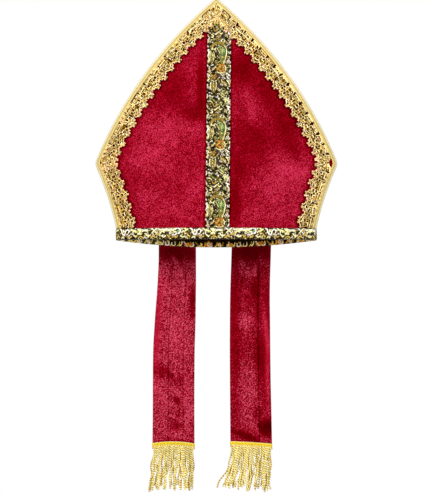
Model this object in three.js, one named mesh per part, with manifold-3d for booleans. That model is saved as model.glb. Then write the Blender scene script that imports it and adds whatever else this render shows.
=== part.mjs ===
// A costume bishop's mitre. Two pointed velvet panels are joined at the side seams and bow apart, so that
// the rim is an open lens for the head. Gold tape binds the panels' edges, gold lace and a brocade ribbon
// trim the front, the same ribbon is folded round the rim, and two fringed lappets hang behind.
// Millimetres, +Z up, front towards -Y. The origin is the middle of the rim opening.
import * as THREE from "three";
import { mergeVertices } from "three/addons/utils/BufferGeometryUtils.js";
import Module from "manifold-3d";

const wasm = await Module();
wasm.setup();

// Outline of the mitre, seen from the front
const RIM_WIDTH = 284;
const SHOULDER_WIDTH = 347;
const SHOULDER_HEIGHT = 110;
const SHOULDER_ROUNDING = 7; // how far from the corner the rounding starts
const SIDE_HOLLOW = 2.5; // how far the side seams bow in from a straight line
const APEX_HEIGHT = 347;
const UPPER_EDGE_BULGE = 16; // how far the upper edges bow out from a straight line
const RIM_DROP = 4.5; // the rim's cut is lower at the middle than at the side seams
const RIM_DROP_ENDS = 80; // height above which a level line is straight

// Bow of each panel, away from the plane of the side seams
const BOW_AT_RIM = 40;
const BOW_AT_APEX = 26;
const SEAM_HALF_GAP = 1.6; // from the seams' plane to the middle of the wall, at the outline

// Thicknesses and clearances
const PANEL_THICKNESS = 3;
const TAPE_THICKNESS = 1;
const RIBBON_THICKNESS = 0.8;
const GAP = 0.3;
const PANEL_FACE = PANEL_THICKNESS / 2;
const TRIM_FOOT = PANEL_FACE + 0.45; // where trim on the velvet starts, clear of the panel's facets

// Brocade ribbon
const BAND_HEIGHT = 16;
const BAND_FOLD = 1.5; // thickness of the fold under the panel's edge
const UPRIGHT_WIDTH = 33.2;
const UPRIGHT_LEAN = { foot: 1.4, head: 4.6 }; // x of its middle: it was sewn a little askew
const UPRIGHT_COLUMNS = 4;
const UPRIGHT_ROWS = 14;

// Gold binding
const BINDING_WIDTH = 7;
const BINDING_NOSE = PANEL_FACE + GAP + TAPE_THICKNESS; // radius of the fold round the panel's edge
const EDGE_INSET = TAPE_THICKNESS + 2 * GAP; // panel's edge, in from the outline

// Gold lace
const LACE_START = BINDING_WIDTH + GAP;
const LACE_WIDTH = 17.6; // to the valleys between the scallops
const SCALLOP_DEPTH = 6.4;
const LACE_GAPS = { near: 2, far: 5.6 }; // the pierced row, from the lace's outer edge
const LACE_CLIMB = RIBBON_THICKNESS + GAP; // the lace rises this much to lie over the upright ribbon
const LACE_CLIMB_RUN = { clear: 8, slope: 8 }; // beside the ribbon: already risen, then rising
const SHOULDER_TUCK = 1.7;
const SIDE_REPEATS = 6; // repeats of the lace beside a side seam
const UPPER_REPEATS = 18; // and along an upper edge
const LACE_THICKNESS = 1;

// Lappets and fringe
const LAPPET_THICKNESS = 2.2;
const LAPPET_COLUMNS = 6;
const LAPPET_SEWN = 13; // how far up the back band the lappets are sewn
const LAPPET_SETTLE = 90; // below the rim, where a lappet has lost the rim's curve
const FRINGE_HEAD = { height: 8, thickness: 3.6, overhang: 0.5 };
const FRINGE_LOCKS = 10;
const LOCK = { width: 5.2, thickness: 3.4, length: 59, sides: 6 };

const PANEL_COLUMNS = 16;
const TIP_HALF_WIDTH = 1;

const velvet = { color: 0xa80f2c, roughness: 0.85, metalness: 0 };
const goldTape = { color: 0xd9b24a, roughness: 0.4, metalness: 0.5 };
const goldLace = { color: 0xc79f45, roughness: 0.45, metalness: 0.5 };
const brocade = { color: 0x6d6a4c, roughness: 0.55, metalness: 0.2 };
const goldFringe = { color: 0xd8b455, roughness: 0.5, metalness: 0.4 };

// Corners of the outline, on the right of the front view: x across, y up
const rimCorner = new THREE.Vector2(RIM_WIDTH / 2, BAND_HEIGHT);
const shoulder = new THREE.Vector2(SHOULDER_WIDTH / 2, SHOULDER_HEIGHT);
const apex = new THREE.Vector2(0, APEX_HEIGHT);
const sideControl = rimCorner.clone().add(shoulder).multiplyScalar(0.5);
sideControl.x -= 2 * SIDE_HOLLOW;
const sideCurve = new THREE.QuadraticBezierCurve(rimCorner, sideControl, shoulder);
const flareAboveShoulder = (2 * (shoulder.x - sideControl.x)) / (shoulder.y - rimCorner.y);

// The upper edge's control point lies twice the bulge out from the middle of its chord.
const chordDirection = apex.clone().sub(shoulder).normalize();
const outward = new THREE.Vector2(chordDirection.y, -chordDirection.x);
const bowControl = shoulder.clone().add(apex).multiplyScalar(0.5).addScaledVector(outward, 2 * UPPER_EDGE_BULGE);

function towards(from, to, distance) {
  return from.clone().addScaledVector(to.clone().sub(from).normalize(), distance);
}

// Right edge of the outline from a height beside the rim up to the apex, as points for sections
function rightEdge(startHeight) {
  const beforeShoulder = towards(shoulder, sideControl, SHOULDER_ROUNDING);
  const afterShoulder = towards(shoulder, bowControl, SHOULDER_ROUNDING);
  const sideStart = new THREE.Vector2(rimCorner.x, startHeight);
  const runs = [
    { curve: new THREE.LineCurve(sideStart, rimCorner), steps: startHeight < BAND_HEIGHT ? 1 : 0 },
    { curve: new THREE.QuadraticBezierCurve(rimCorner, sideControl, beforeShoulder), steps: 6 },
    { curve: new THREE.QuadraticBezierCurve(beforeShoulder, shoulder, afterShoulder), steps: 3 },
    { curve: new THREE.QuadraticBezierCurve(afterShoulder, bowControl, apex), steps: 13 },
  ];
  const points = [];
  for (const { curve, steps } of runs) {
    for (let i = 0; i < steps; i++) points.push(curve.getPoint(i / steps));
  }
  if (startHeight > BAND_HEIGHT) points[0] = new THREE.Vector2(rimCorner.x, startHeight);
  return [...points, apex.clone()];
}

// Whole outline from the left rim corner over the apex to the right one, each point with the vector that
// leads inwards to an outline set in by one millimetre
function outlineStations(startHeight) {
  const right = rightEdge(startHeight);
  const left = right.slice(0, -1).map((p) => new THREE.Vector2(-p.x, p.y));
  const points = [...left, ...right.reverse()];
  const normals = points.slice(1).map((p, i) => {
    const along = p.clone().sub(points[i]).normalize();
    return new THREE.Vector2(along.y, -along.x);
  });
  return points.map((point, i) => {
    if (i === 0) return { point, inward: new THREE.Vector2(1 / normals[0].x, 0) };
    if (i === points.length - 1) return { point, inward: new THREE.Vector2(1 / normals.at(-1).x, 0) };
    const [a, b] = [normals[i - 1], normals[i]];
    return { point, inward: a.clone().add(b).divideScalar(1 + a.dot(b)) };
  });
}

// Half the width between the side seams at a height, carried on above the shoulders
function halfChord(z) {
  const share = (z - rimCorner.y) / (shoulder.y - rimCorner.y);
  if (share > 1) return shoulder.x + flareAboveShoulder * (z - shoulder.y);
  return sideCurve.getPoint(Math.max(0, share)).x;
}

// Distance of a panel's middle surface from the plane of the side seams
function bowDepth(x, z) {
  const rise = THREE.MathUtils.clamp(z / APEX_HEIGHT, 0, 1);
  const bow = THREE.MathUtils.lerp(BOW_AT_RIM, BOW_AT_APEX, rise * rise);
  return SEAM_HALF_GAP + bow * (1 - (x / halfChord(z)) ** 2);
}

// Outward normal of the front panel's middle surface
function bowNormal(x, z) {
  const step = 0.5;
  const slopeX = (bowDepth(x + step, z) - bowDepth(x - step, z)) / (2 * step);
  const slopeZ = (bowDepth(x, z + step) - bowDepth(x, z - step)) / (2 * step);
  return new THREE.Vector3(-slopeX, -1, -slopeZ).normalize();
}

// Height of a level line at x: near the rim it follows the rim's cut
function cutHeight(x, z) {
  const fade = THREE.MathUtils.clamp((RIM_DROP_ENDS - z) / (RIM_DROP_ENDS - BAND_HEIGHT), 0, 1);
  return z - RIM_DROP * (1 - (x / (RIM_WIDTH / 2)) ** 2) * fade;
}

// Point on the front panel, lifted off its middle surface along the normal
function onFront(x, z, lift) {
  const height = cutHeight(x, z);
  const onMiddle = new THREE.Vector3(x, -bowDepth(x, height), height);
  return onMiddle.addScaledVector(bowNormal(x, height), lift);
}

// A geometry from points and triangles, with its faces turned outwards
function closedGeometry(points, triangles) {
  let volume = 0;
  for (const [a, b, c] of triangles) {
    volume += points[a].dot(new THREE.Vector3().crossVectors(points[b], points[c]));
  }
  const index = triangles.flatMap(([a, b, c]) => (volume < 0 ? [a, c, b] : [a, b, c]));
  const geometry = new THREE.BufferGeometry().setFromPoints(points).setIndex(index);
  geometry.computeVertexNormals();
  return geometry;
}

// A sheet with thickness on a grid of columns and rows. at(column, row, face) places the corner on face 1
// or -1, and present(column, row) says whether the sheet has cloth in that cell or is pierced there.
function sheetGeometry(columns, rows, at, present = () => true) {
  const points = [];
  const ids = new Map();
  function corner(i, j, face) {
    const key = `${i} ${j} ${face}`;
    if (!ids.has(key)) {
      ids.set(key, points.length);
      points.push(at(i, j, face));
    }
    return ids.get(key);
  }
  const triangles = [];
  function quad(a, b, c, d) {
    triangles.push([a, b, c], [a, c, d]);
  }
  function filled(i, j) {
    return i >= 0 && j >= 0 && i < columns && j < rows && present(i, j);
  }
  for (let i = 0; i < columns; i++) {
    for (let j = 0; j < rows; j++) {
      if (!filled(i, j)) continue;
      const ring = [[i, j], [i + 1, j], [i + 1, j + 1], [i, j + 1]];
      const besides = [[i, j - 1], [i + 1, j], [i, j + 1], [i - 1, j]];
      const front = ring.map(([a, b]) => corner(a, b, 1));
      const back = ring.map(([a, b]) => corner(a, b, -1));
      quad(...front);
      quad(...back.reverse());
      back.reverse();
      besides.forEach(([a, b], k) => {
        const next = (k + 1) % 4;
        if (!filled(a, b)) quad(front[next], front[k], back[k], back[next]);
      });
    }
  }
  return closedGeometry(points, triangles);
}

// A section carried along stations: rings of points joined in order, with both ends closed. The ends are
// triangulated on the section's own flat shape.
function sweptGeometry(rings, section) {
  const size = section.length;
  const points = rings.flat();
  const triangles = [];
  for (let r = 0; r + 1 < rings.length; r++) {
    for (let k = 0; k < size; k++) {
      const [a, b] = [r * size + k, r * size + ((k + 1) % size)];
      triangles.push([a, b, b + size], [a, b + size, a + size]);
    }
  }
  const cap = THREE.ShapeUtils.triangulateShape(section, []);
  const forward = cap.some((t) => t.some((v, n) => v === 0 && t[(n + 1) % 3] === 1));
  const last = (rings.length - 1) * size;
  for (const [a, b, c] of cap) {
    triangles.push(forward ? [c, b, a] : [a, b, c]);
    triangles.push(forward ? [last + a, last + b, last + c] : [last + c, last + b, last + a]);
  }
  return closedGeometry(points, triangles);
}

// The panel's rows follow the outline's stations. On each side the first column is under the binding, so
// that binding and panel have the same facets, and the other columns divide the width between them.
function panelGeometry() {
  const stations = outlineStations(BAND_FOLD + GAP);
  const apexIndex = (stations.length - 1) / 2;
  const rows = stations.slice(apexIndex).reverse();
  const inset = ({ point, inward }, distance) => {
    const moved = point.clone().addScaledVector(inward, distance);
    return new THREE.Vector2(Math.max(TIP_HALF_WIDTH, moved.x), moved.y);
  };
  return sheetGeometry(PANEL_COLUMNS, rows.length - 1, (i, j, face) => {
    const tipTrim = j === rows.length - 1 ? TIP_HALF_WIDTH : 0;
    const underBinding = inset(rows[j], BINDING_WIDTH + tipTrim);
    const side = Math.sign(2 * i - PANEL_COLUMNS);
    if (i === 0 || i === PANEL_COLUMNS) {
      const edge = inset(rows[j], EDGE_INSET + tipTrim);
      return onFront(side * edge.x, edge.y, face * PANEL_FACE);
    }
    const across = (2 * (i - 1)) / (PANEL_COLUMNS - 2) - 1;
    return onFront(across * underBinding.x, underBinding.y, face * PANEL_FACE);
  });
}

// The binding's section: x is the distance in from the outline, y the lift off the panel's middle surface
function bindingSection() {
  const legFoot = PANEL_FACE + GAP;
  const noseSteps = 4;
  const nose = [];
  for (let k = 0; k <= noseSteps; k++) {
    const angle = Math.PI * (k / noseSteps - 0.5);
    nose.push(new THREE.Vector2(BINDING_NOSE * (1 - Math.cos(angle)), -BINDING_NOSE * Math.sin(angle)));
  }
  return [
    new THREE.Vector2(BINDING_WIDTH, legFoot),
    new THREE.Vector2(BINDING_WIDTH, BINDING_NOSE),
    ...nose,
    new THREE.Vector2(BINDING_WIDTH, -BINDING_NOSE),
    new THREE.Vector2(BINDING_WIDTH, -legFoot),
    new THREE.Vector2(EDGE_INSET - GAP, -legFoot),
    new THREE.Vector2(EDGE_INSET - GAP, legFoot),
  ];
}

function bindingGeometry() {
  const section = bindingSection();
  const rings = outlineStations(BAND_HEIGHT + GAP).map(({ point, inward }) =>
    section.map(({ x, y }) => {
      const foot = point.clone().addScaledVector(inward, x);
      return onFront(foot.x, foot.y, y);
    }),
  );
  return sweptGeometry(rings, section);
}

// The rim band's section: a ribbon folded round the panel's lower edge, puffed out at the front
const BAND_SECTION = [
  { lift: TRIM_FOOT, height: BAND_HEIGHT },
  { lift: 2.6, height: BAND_HEIGHT },
  { lift: 4.2, height: 12.5 },
  { lift: 4.8, height: 8 },
  { lift: 4.2, height: 3.5 },
  { lift: 2.2, height: 0.4 },
  { lift: 0, height: 0 },
  { lift: -2.2, height: 0.4 },
  { lift: -3.1, height: 3 },
  { lift: -3.1, height: 14.5 },
  { lift: -TRIM_FOOT - 0.1, height: 14.5 },
  { lift: -TRIM_FOOT - 0.1, height: BAND_FOLD },
  { lift: TRIM_FOOT, height: BAND_FOLD },
];
const BAND_OUTER_LIFT = Math.max(...BAND_SECTION.map(({ lift }) => lift));
const BAND_END = { flattened: 2.8, run: 14 }; // the puff is pressed flat towards the side seams

function bandGeometry() {
  const steps = 20;
  const half = RIM_WIDTH / 2 - 0.8;
  const rings = [];
  for (let i = 0; i <= steps; i++) {
    const x = half * ((2 * i) / steps - 1);
    const steepness = -bowNormal(x, BAND_HEIGHT / 2).y;
    const innerLimit = (bowDepth(x, 0) - GAP / 2) / steepness; // the other band is beyond the seams' plane
    const pressed = THREE.MathUtils.smoothstep(Math.abs(x), half - BAND_END.run, half);
    const outerLimit = THREE.MathUtils.lerp(BAND_OUTER_LIFT, BAND_END.flattened, pressed);
    const limited = (lift) => THREE.MathUtils.clamp(lift, -innerLimit, outerLimit);
    rings.push(BAND_SECTION.map(({ lift, height }) => onFront(x, height, limited(lift))));
  }
  return sweptGeometry(rings, BAND_SECTION.map(({ lift, height }) => new THREE.Vector2(lift, height)));
}

// Height of the right half of an outline set in by a distance, at x
function insetHeight(stations, inset, x) {
  const half = stations
    .slice((stations.length - 1) / 2)
    .map(({ point, inward }) => point.clone().addScaledVector(inward, inset));
  const k = half.findIndex((p) => p.x >= Math.abs(x));
  if (k <= 0) return half[0].y;
  const share = (Math.abs(x) - half[k - 1].x) / (half[k].x - half[k - 1].x);
  return THREE.MathUtils.lerp(half[k - 1].y, half[k].y, share);
}

function uprightRibbonGeometry() {
  const stations = outlineStations(BAND_HEIGHT + GAP);
  const foot = BAND_HEIGHT + GAP;
  return sheetGeometry(UPRIGHT_COLUMNS, UPRIGHT_ROWS, (i, j, face) => {
    const across = UPRIGHT_WIDTH * (i / UPRIGHT_COLUMNS - 0.5);
    const top = insetHeight(stations, BINDING_WIDTH + 2 * GAP, UPRIGHT_LEAN.head + across);
    const z = THREE.MathUtils.lerp(foot, top, j / UPRIGHT_ROWS);
    const x = THREE.MathUtils.lerp(UPRIGHT_LEAN.foot, UPRIGHT_LEAN.head, j / UPRIGHT_ROWS) + across;
    return onFront(x, z, TRIM_FOOT + (face > 0 ? RIBBON_THICKNESS : 0));
  });
}

// Edge runs that the lace follows on the left of the front view. The lace fans round each corner: lean is
// how far its inner edge runs along the outline for each millimetre in, at the ends of the run, reach how
// far from the corner the fan dies out, and tuck how far in the corner's rounding pushes the lace.
function laceRuns() {
  const mirror = (p) => new THREE.Vector2(-p.x, p.y);
  const start = new THREE.Vector2(-rimCorner.x, BAND_HEIGHT + GAP);
  const side = new THREE.QuadraticBezierCurve(start, mirror(sideControl), mirror(shoulder));
  const upper = new THREE.QuadraticBezierCurve(mirror(shoulder), mirror(bowControl), apex);
  const sideTangent = side.getTangent(0);
  const turn = Math.abs(side.getTangent(1).angle() - upper.getTangent(0).angle());
  const shoulderLean = Math.tan(turn / 2);
  const apexTangent = upper.getTangent(1);
  return [
    {
      curve: side,
      repeats: SIDE_REPEATS,
      start: { lean: sideTangent.x / sideTangent.y, reach: 30, tuck: 0 },
      end: { lean: -shoulderLean, reach: 45, tuck: SHOULDER_TUCK },
    },
    {
      curve: upper,
      repeats: UPPER_REPEATS,
      start: { lean: shoulderLean, reach: 45, tuck: SHOULDER_TUCK },
      end: { lean: -apexTangent.y / apexTangent.x, reach: 70, tuck: 0 },
    },
  ];
}

// One repeat of the lace, column by column: how far the scallop reaches and whether a gap follows
const LACE_REPEAT = [
  { scallop: 0, gap: true },
  { scallop: 0.62, gap: false },
  { scallop: 1, gap: false },
  { scallop: 0.62, gap: false },
];

// Columns of the lace: where each meets the outline and which way it leads in
function laceColumns() {
  const fan = ({ lean, reach }, distance) => lean * Math.max(0, 1 - distance / reach) ** 2;
  const tucked = ({ tuck }, distance) => tuck * Math.max(0, 1 - distance / (1.6 * SHOULDER_ROUNDING));
  const left = [];
  for (const { curve, repeats, start, end } of laceRuns()) {
    const steps = repeats * LACE_REPEAT.length;
    const length = curve.getLength();
    for (let k = 0; k <= steps; k++) {
      if (k === 0 && left.length) continue;
      const along = curve.getTangentAt(k / steps);
      const distance = (length * k) / steps;
      const lean = fan(start, distance) + fan(end, length - distance);
      const tuck = tucked(start, distance) + tucked(end, length - distance);
      const inward = new THREE.Vector2(along.y, -along.x).addScaledVector(along, lean);
      left.push({ point: curve.getPointAt(k / steps).addScaledVector(inward, tuck), inward });
    }
  }
  const mirrored = left.slice(0, -1).reverse().map(({ point, inward }) => ({
    point: new THREE.Vector2(-point.x, point.y),
    inward: new THREE.Vector2(-inward.x, inward.y),
  }));
  return [...left, ...mirrored];
}

function laceGeometry() {
  const columns = laceColumns();
  const rowInset = (i, j) => {
    const scallop = LACE_WIDTH + SCALLOP_DEPTH * LACE_REPEAT[i % LACE_REPEAT.length].scallop;
    return LACE_START + [0, LACE_GAPS.near, LACE_GAPS.far, scallop][j];
  };
  const at = (i, j, face) => {
    const foot = columns[i].point.clone().addScaledVector(columns[i].inward, rowInset(i, j));
    const besideRibbon = Math.abs(foot.x) - UPRIGHT_WIDTH / 2 - LACE_CLIMB_RUN.clear;
    const climb = LACE_CLIMB * THREE.MathUtils.clamp(1 - besideRibbon / LACE_CLIMB_RUN.slope, 0, 1);
    return onFront(foot.x, foot.y, TRIM_FOOT + climb + (face > 0 ? LACE_THICKNESS : 0));
  };
  const present = (i, j) => j !== 1 || !LACE_REPEAT[i % LACE_REPEAT.length].gap;
  return sheetGeometry(columns.length - 1, 3, at, present);
}

// Lappets, row by row down from the rim: x of the middle, width, and how far it swings back
const LAPPETS = {
  left: {
    rows: [
      { drop: 0, middle: -56, width: 55, swing: 0 },
      { drop: 20, middle: -56.3, width: 55.5, swing: 0.4 },
      { drop: 45, middle: -57, width: 57, swing: 1 },
      { drop: 75, middle: -58.2, width: 58.5, swing: 0.6 },
      { drop: 110, middle: -59.5, width: 60, swing: -0.8 },
      { drop: 150, middle: -60.8, width: 60, swing: -1.4 },
      { drop: 195, middle: -61, width: 60, swing: -0.4 },
      { drop: 240, middle: -61.1, width: 60, swing: 0.8 },
      { drop: 284, middle: -61, width: 60, swing: 1.2 },
    ],
    endSlope: 0,
    locksLean: { first: -9, last: 1 },
  },
  right: {
    rows: [
      { drop: 0, middle: 50.2, width: 57.5, swing: 0 },
      { drop: 20, middle: 50, width: 57.8, swing: 0.5 },
      { drop: 45, middle: 49.2, width: 58, swing: 1.2 },
      { drop: 75, middle: 48.7, width: 58.3, swing: 1 },
      { drop: 110, middle: 48.6, width: 58.8, swing: -0.4 },
      { drop: 150, middle: 48.7, width: 59.2, swing: -1.2 },
      { drop: 195, middle: 49.2, width: 59.6, swing: -0.6 },
      { drop: 240, middle: 49.8, width: 60, swing: 0.6 },
      { drop: 284, middle: 50.2, width: 60, swing: 1 },
    ],
    endSlope: -0.07,
    locksLean: { first: -13, last: -3 },
  },
};
const LAPPET_FOOT_LIFT = BAND_OUTER_LIFT + GAP;

// Distance of the lappet's face from the seams' plane where it lies on the back band
function behindBand(x, faceLift) {
  return bowDepth(x, 0) - (LAPPET_FOOT_LIFT + faceLift) / bowNormal(x, 0).y;
}

// Point of a lappet at one of its rows. across runs from -1 to 1, and faceLift is measured backwards.
function onLappet({ rows, endSlope }, j, across, faceLift) {
  const { drop, middle, width, swing } = rows[j];
  const reach = (across * width) / 2;
  const x = middle + reach;
  const turn = (behindBand(middle + width / 2, 0) - behindBand(middle - width / 2, 0)) / width;
  const straight = behindBand(middle, faceLift) + turn * reach;
  const settled = THREE.MathUtils.smoothstep(drop, 0, LAPPET_SETTLE);
  const last = rows.at(-1).drop;
  const slant = endSlope * reach * THREE.MathUtils.smoothstep(drop, last / 2, last);
  const y = THREE.MathUtils.lerp(behindBand(x, faceLift), straight, settled) + swing;
  return new THREE.Vector3(x, y, cutHeight(x, 0) * (1 - settled) - drop + slant);
}

function lappetGeometry(lappet) {
  const { middle, width } = lappet.rows[0];
  return sheetGeometry(LAPPET_COLUMNS, lappet.rows.length, (i, j, face) => {
    const across = (2 * i) / LAPPET_COLUMNS - 1;
    const faceLift = face > 0 ? LAPPET_THICKNESS : 0;
    if (j > 0) return onLappet(lappet, j - 1, across, faceLift);
    const point = onLappet(lappet, 0, across, faceLift);
    point.z = cutHeight(middle + (across * width) / 2, LAPPET_SEWN);
    return point;
  });
}

function manifoldOf(geometry) {
  const bare = new THREE.BufferGeometry();
  bare.setAttribute("position", geometry.getAttribute("position"));
  bare.setIndex(geometry.getIndex());
  const merged = mergeVertices(bare);
  return new wasm.Manifold(
    new wasm.Mesh({
      numProp: 3,
      vertProperties: merged.getAttribute("position").array,
      triVerts: new Uint32Array(merged.getIndex().array),
    }),
  );
}

function geometryOf(manifold) {
  const { vertProperties, triVerts } = manifold.getMesh();
  const geometry = new THREE.BufferGeometry();
  geometry.setAttribute("position", new THREE.BufferAttribute(new Float32Array(vertProperties), 3));
  geometry.setIndex(new THREE.BufferAttribute(new Uint32Array(triVerts), 1));
  geometry.computeVertexNormals();
  return geometry;
}

// One lock of the fringe: a flat-sided tapering strand from inside the head down to its tip
function lockGeometry(root, leanDegrees, length) {
  const lean = Math.tan(THREE.MathUtils.degToRad(leanDegrees));
  const sections = [
    { drop: 0, size: 0.8 },
    { drop: 0.35, size: 1 },
    { drop: 0.75, size: 1 },
    { drop: 1, size: 0.6 },
  ];
  const outline = [];
  for (let k = 0; k < LOCK.sides; k++) {
    const angle = (2 * Math.PI * k) / LOCK.sides;
    outline.push(new THREE.Vector2((LOCK.width / 2) * Math.cos(angle), (LOCK.thickness / 2) * Math.sin(angle)));
  }
  const rings = sections.map(({ drop, size }) =>
    outline.map((p) => {
      const swing = lean * length * drop ** 1.5;
      return new THREE.Vector3(root.x + swing + p.x * size, root.y + p.y * size, root.z - length * drop);
    }),
  );
  return sweptGeometry(rings, outline);
}

function fringeGeometry(lappet) {
  const last = lappet.rows.length - 1;
  const spread = 1 + (2 * FRINGE_HEAD.overhang) / lappet.rows[last].width;
  const middleLift = LAPPET_THICKNESS / 2;
  const head = sheetGeometry(LAPPET_COLUMNS, 1, (i, j, face) => {
    const across = spread * ((2 * i) / LAPPET_COLUMNS - 1);
    const point = onLappet(lappet, last, across, middleLift + (face * FRINGE_HEAD.thickness) / 2);
    point.z -= GAP + j * FRINGE_HEAD.height;
    return point;
  });
  let fringe = manifoldOf(head);
  for (let k = 0; k < FRINGE_LOCKS; k++) {
    const share = k / (FRINGE_LOCKS - 1);
    const inset = 1 - LOCK.width / lappet.rows[last].width;
    const root = onLappet(lappet, last, inset * (2 * share - 1), middleLift);
    root.z -= GAP + FRINGE_HEAD.height / 2;
    const lean = THREE.MathUtils.lerp(lappet.locksLean.first, lappet.locksLean.last, Math.sqrt(share));
    const length = LOCK.length + 3 * Math.cos(4 * k);
    fringe = fringe.add(manifoldOf(lockGeometry(root, lean, length)));
  }
  return geometryOf(fringe);
}

function piece(name, geometry, finish, turned = false) {
  const mesh = new THREE.Mesh(geometry, new THREE.MeshStandardMaterial(finish));
  mesh.name = name;
  if (turned) mesh.rotation.z = Math.PI;
  return mesh;
}

const mitre = new THREE.Group();
mitre.add(
  piece("front_panel", panelGeometry(), velvet),
  piece("back_panel", panelGeometry(), velvet, true),
  piece("front_binding", bindingGeometry(), goldTape),
  piece("back_binding", bindingGeometry(), goldTape, true),
  piece("front_band", bandGeometry(), brocade),
  piece("back_band", bandGeometry(), brocade, true),
  piece("front_ribbon", uprightRibbonGeometry(), brocade),
  piece("front_lace", laceGeometry(), goldLace),
);
for (const [side, lappet] of Object.entries(LAPPETS)) {
  mitre.add(piece(`lappet_${side}`, lappetGeometry(lappet), velvet));
  mitre.add(piece(`fringe_${side}`, fringeGeometry(lappet), goldFringe));
}

export default mitre;
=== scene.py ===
# Costume mitre in red velvet, with gold lace, brocade ribbon and two fringed lappets
import math

import bpy
import numpy as np
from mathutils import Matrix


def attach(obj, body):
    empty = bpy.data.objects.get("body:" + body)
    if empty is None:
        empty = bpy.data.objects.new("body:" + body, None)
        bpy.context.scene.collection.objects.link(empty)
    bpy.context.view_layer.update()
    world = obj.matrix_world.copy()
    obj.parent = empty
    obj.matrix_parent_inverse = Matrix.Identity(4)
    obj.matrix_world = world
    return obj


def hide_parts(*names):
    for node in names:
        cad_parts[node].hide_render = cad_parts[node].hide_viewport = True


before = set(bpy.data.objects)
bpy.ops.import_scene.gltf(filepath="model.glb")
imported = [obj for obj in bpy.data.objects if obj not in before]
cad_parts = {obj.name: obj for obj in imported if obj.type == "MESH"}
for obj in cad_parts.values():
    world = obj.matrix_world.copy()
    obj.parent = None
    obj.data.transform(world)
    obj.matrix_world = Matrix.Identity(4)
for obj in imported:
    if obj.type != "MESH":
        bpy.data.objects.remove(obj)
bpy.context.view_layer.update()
scene = bpy.context.scene
rng = np.random.default_rng(7)
print("frame:", len(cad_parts), "solids")

# Node trees and tables


def addNode(tree, kind, **settings):
    # a keyword sets the socket of that name, with low lines for spaces, or else the node's own setting
    node = tree.nodes.new(kind)
    for key, value in settings.items():
        label = key.replace("_", " ")
        if label in node.inputs:
            node.inputs[label].default_value = value
        else:
            setattr(node, key, value)
    return node


def joinNodes(tree, *pairs):
    for start, end in pairs:
        tree.links.new(start, end)


def readRows(text):
    # rows that end with a semicolon or the line, each word a number or a name
    rows = [row.split() for row in text.replace(";", "\n").split("\n") if row.strip()]
    return [tuple(float(word) if word[-1].isdigit() else word for word in row) for row in rows]


# Camera, light and floor

studio = {
    "pitch": -8.0,  # the camera looks up a little, as the rim's inside shows
    "distance": 3.0,
    "mmPerPixel": 1.42,
    "imageHeight": 495,  # the sensor spans the frame's longer side
    "sensor": 36.0,
    "aim": (0.0017, 0.0, -0.0105),
    "floorHeight": -0.66,
    "floorRadius": 3.95,
    "floorGrid": 41,
    "floorRise": 0.000004,
    "floorThickness": 5,
    "roomLight": 0.5,
    "roomColour": (1, 0.985, 0.97, 1),
    "lampColour": (1, 0.975, 0.93),
    "lampTarget": (0, 0, 0.05),
    "lamps": (  # name, place, size, watts
        ("key", (-0.9, -2.4, 1.35), 1.1, 62),
        ("fill", (1.5, -2.3, 0.35), 1.4, 22),
        ("behind", (0.3, 2.4, 2.4), 1.6, 40),
    ),
}


def makeStudio(s):
    # camera on a circle round the aim point: aim + distance * (0, -cos pitch, sin pitch)
    pitch = math.radians(s["pitch"])
    camera = bpy.data.cameras.new("camera")
    camera.lens = s["sensor"] * s["distance"] / (s["imageHeight"] * s["mmPerPixel"] * 0.001)
    camera.clip_end = 100
    eye = bpy.data.objects.new("camera", camera)
    eye.location = (s["aim"][0], s["aim"][1] - s["distance"] * math.cos(pitch),
                    s["aim"][2] + s["distance"] * math.sin(pitch))
    eye.rotation_euler = (math.pi / 2 - pitch, 0, 0)
    scene.collection.objects.link(eye)
    scene.camera = eye
    scene.view_settings.view_transform = "Standard"

    scene.world = bpy.data.worlds.new("studio")
    scene.world.use_nodes = True
    tree = scene.world.node_tree
    tree.nodes.clear()
    room = addNode(tree, "ShaderNodeBackground", Strength=s["roomLight"], Color=s["roomColour"])
    paper = addNode(tree, "ShaderNodeBackground", Color=(1, 1, 1, 1))
    rays = addNode(tree, "ShaderNodeLightPath")
    mix = addNode(tree, "ShaderNodeMixShader")
    out = addNode(tree, "ShaderNodeOutputWorld")
    joinNodes(tree, (rays.outputs["Is Camera Ray"], mix.inputs["Fac"]), (room.outputs[0], mix.inputs[1]),
              (paper.outputs[0], mix.inputs[2]), (mix.outputs[0], out.inputs["Surface"]))

    for name, place, size, watts in s["lamps"]:
        lamp = bpy.data.lights.new(name, "AREA")
        lamp.energy = watts
        lamp.size = size
        lamp.color = s["lampColour"]
        holder = bpy.data.objects.new(name, lamp)
        holder.location = place
        away = np.array(place) - np.array(s["lampTarget"])
        tilt = math.atan2(math.hypot(away[0], away[1]), away[2])
        holder.rotation_euler = (tilt, 0, math.atan2(away[1], away[0]) + math.pi / 2)
        scene.collection.objects.link(holder)


makeStudio(studio)
print("studio:", len(studio["lamps"]), "lamps")

# Meshes from arrays


def smooth(value, low, high):
    # 0 below low, 1 above high, 3 t^2 - 2 t^3 between
    t = np.clip((value - low) / (high - low), 0, 1)
    return t * t * (3 - 2 * t)


def unit(v):
    return v / np.maximum(np.linalg.norm(v, axis=-1, keepdims=True), 1e-9)


def flow(stations, values, at):
    # cubic Hermite curve through the values, with slopes from their neighbours
    stations = np.asarray(stations, float)
    values = np.asarray(values, float)
    slopes = np.gradient(values, stations)
    k = np.clip(np.searchsorted(stations, at, "right") - 1, 0, len(stations) - 2)
    span = stations[k + 1] - stations[k]
    t = np.clip((at - stations[k]) / span, 0, 1)
    return ((1 + 2 * t) * (1 - t) ** 2 * values[k] + t * (1 - t) ** 2 * span * slopes[k]
            + t * t * (3 - 2 * t) * values[k + 1] + t * t * (t - 1) * span * slopes[k + 1])


def runAlong(points):
    # distance along a line of points, from its start
    return np.concatenate([[0], np.cumsum(np.linalg.norm(np.diff(points, axis=0), axis=1))])


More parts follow.
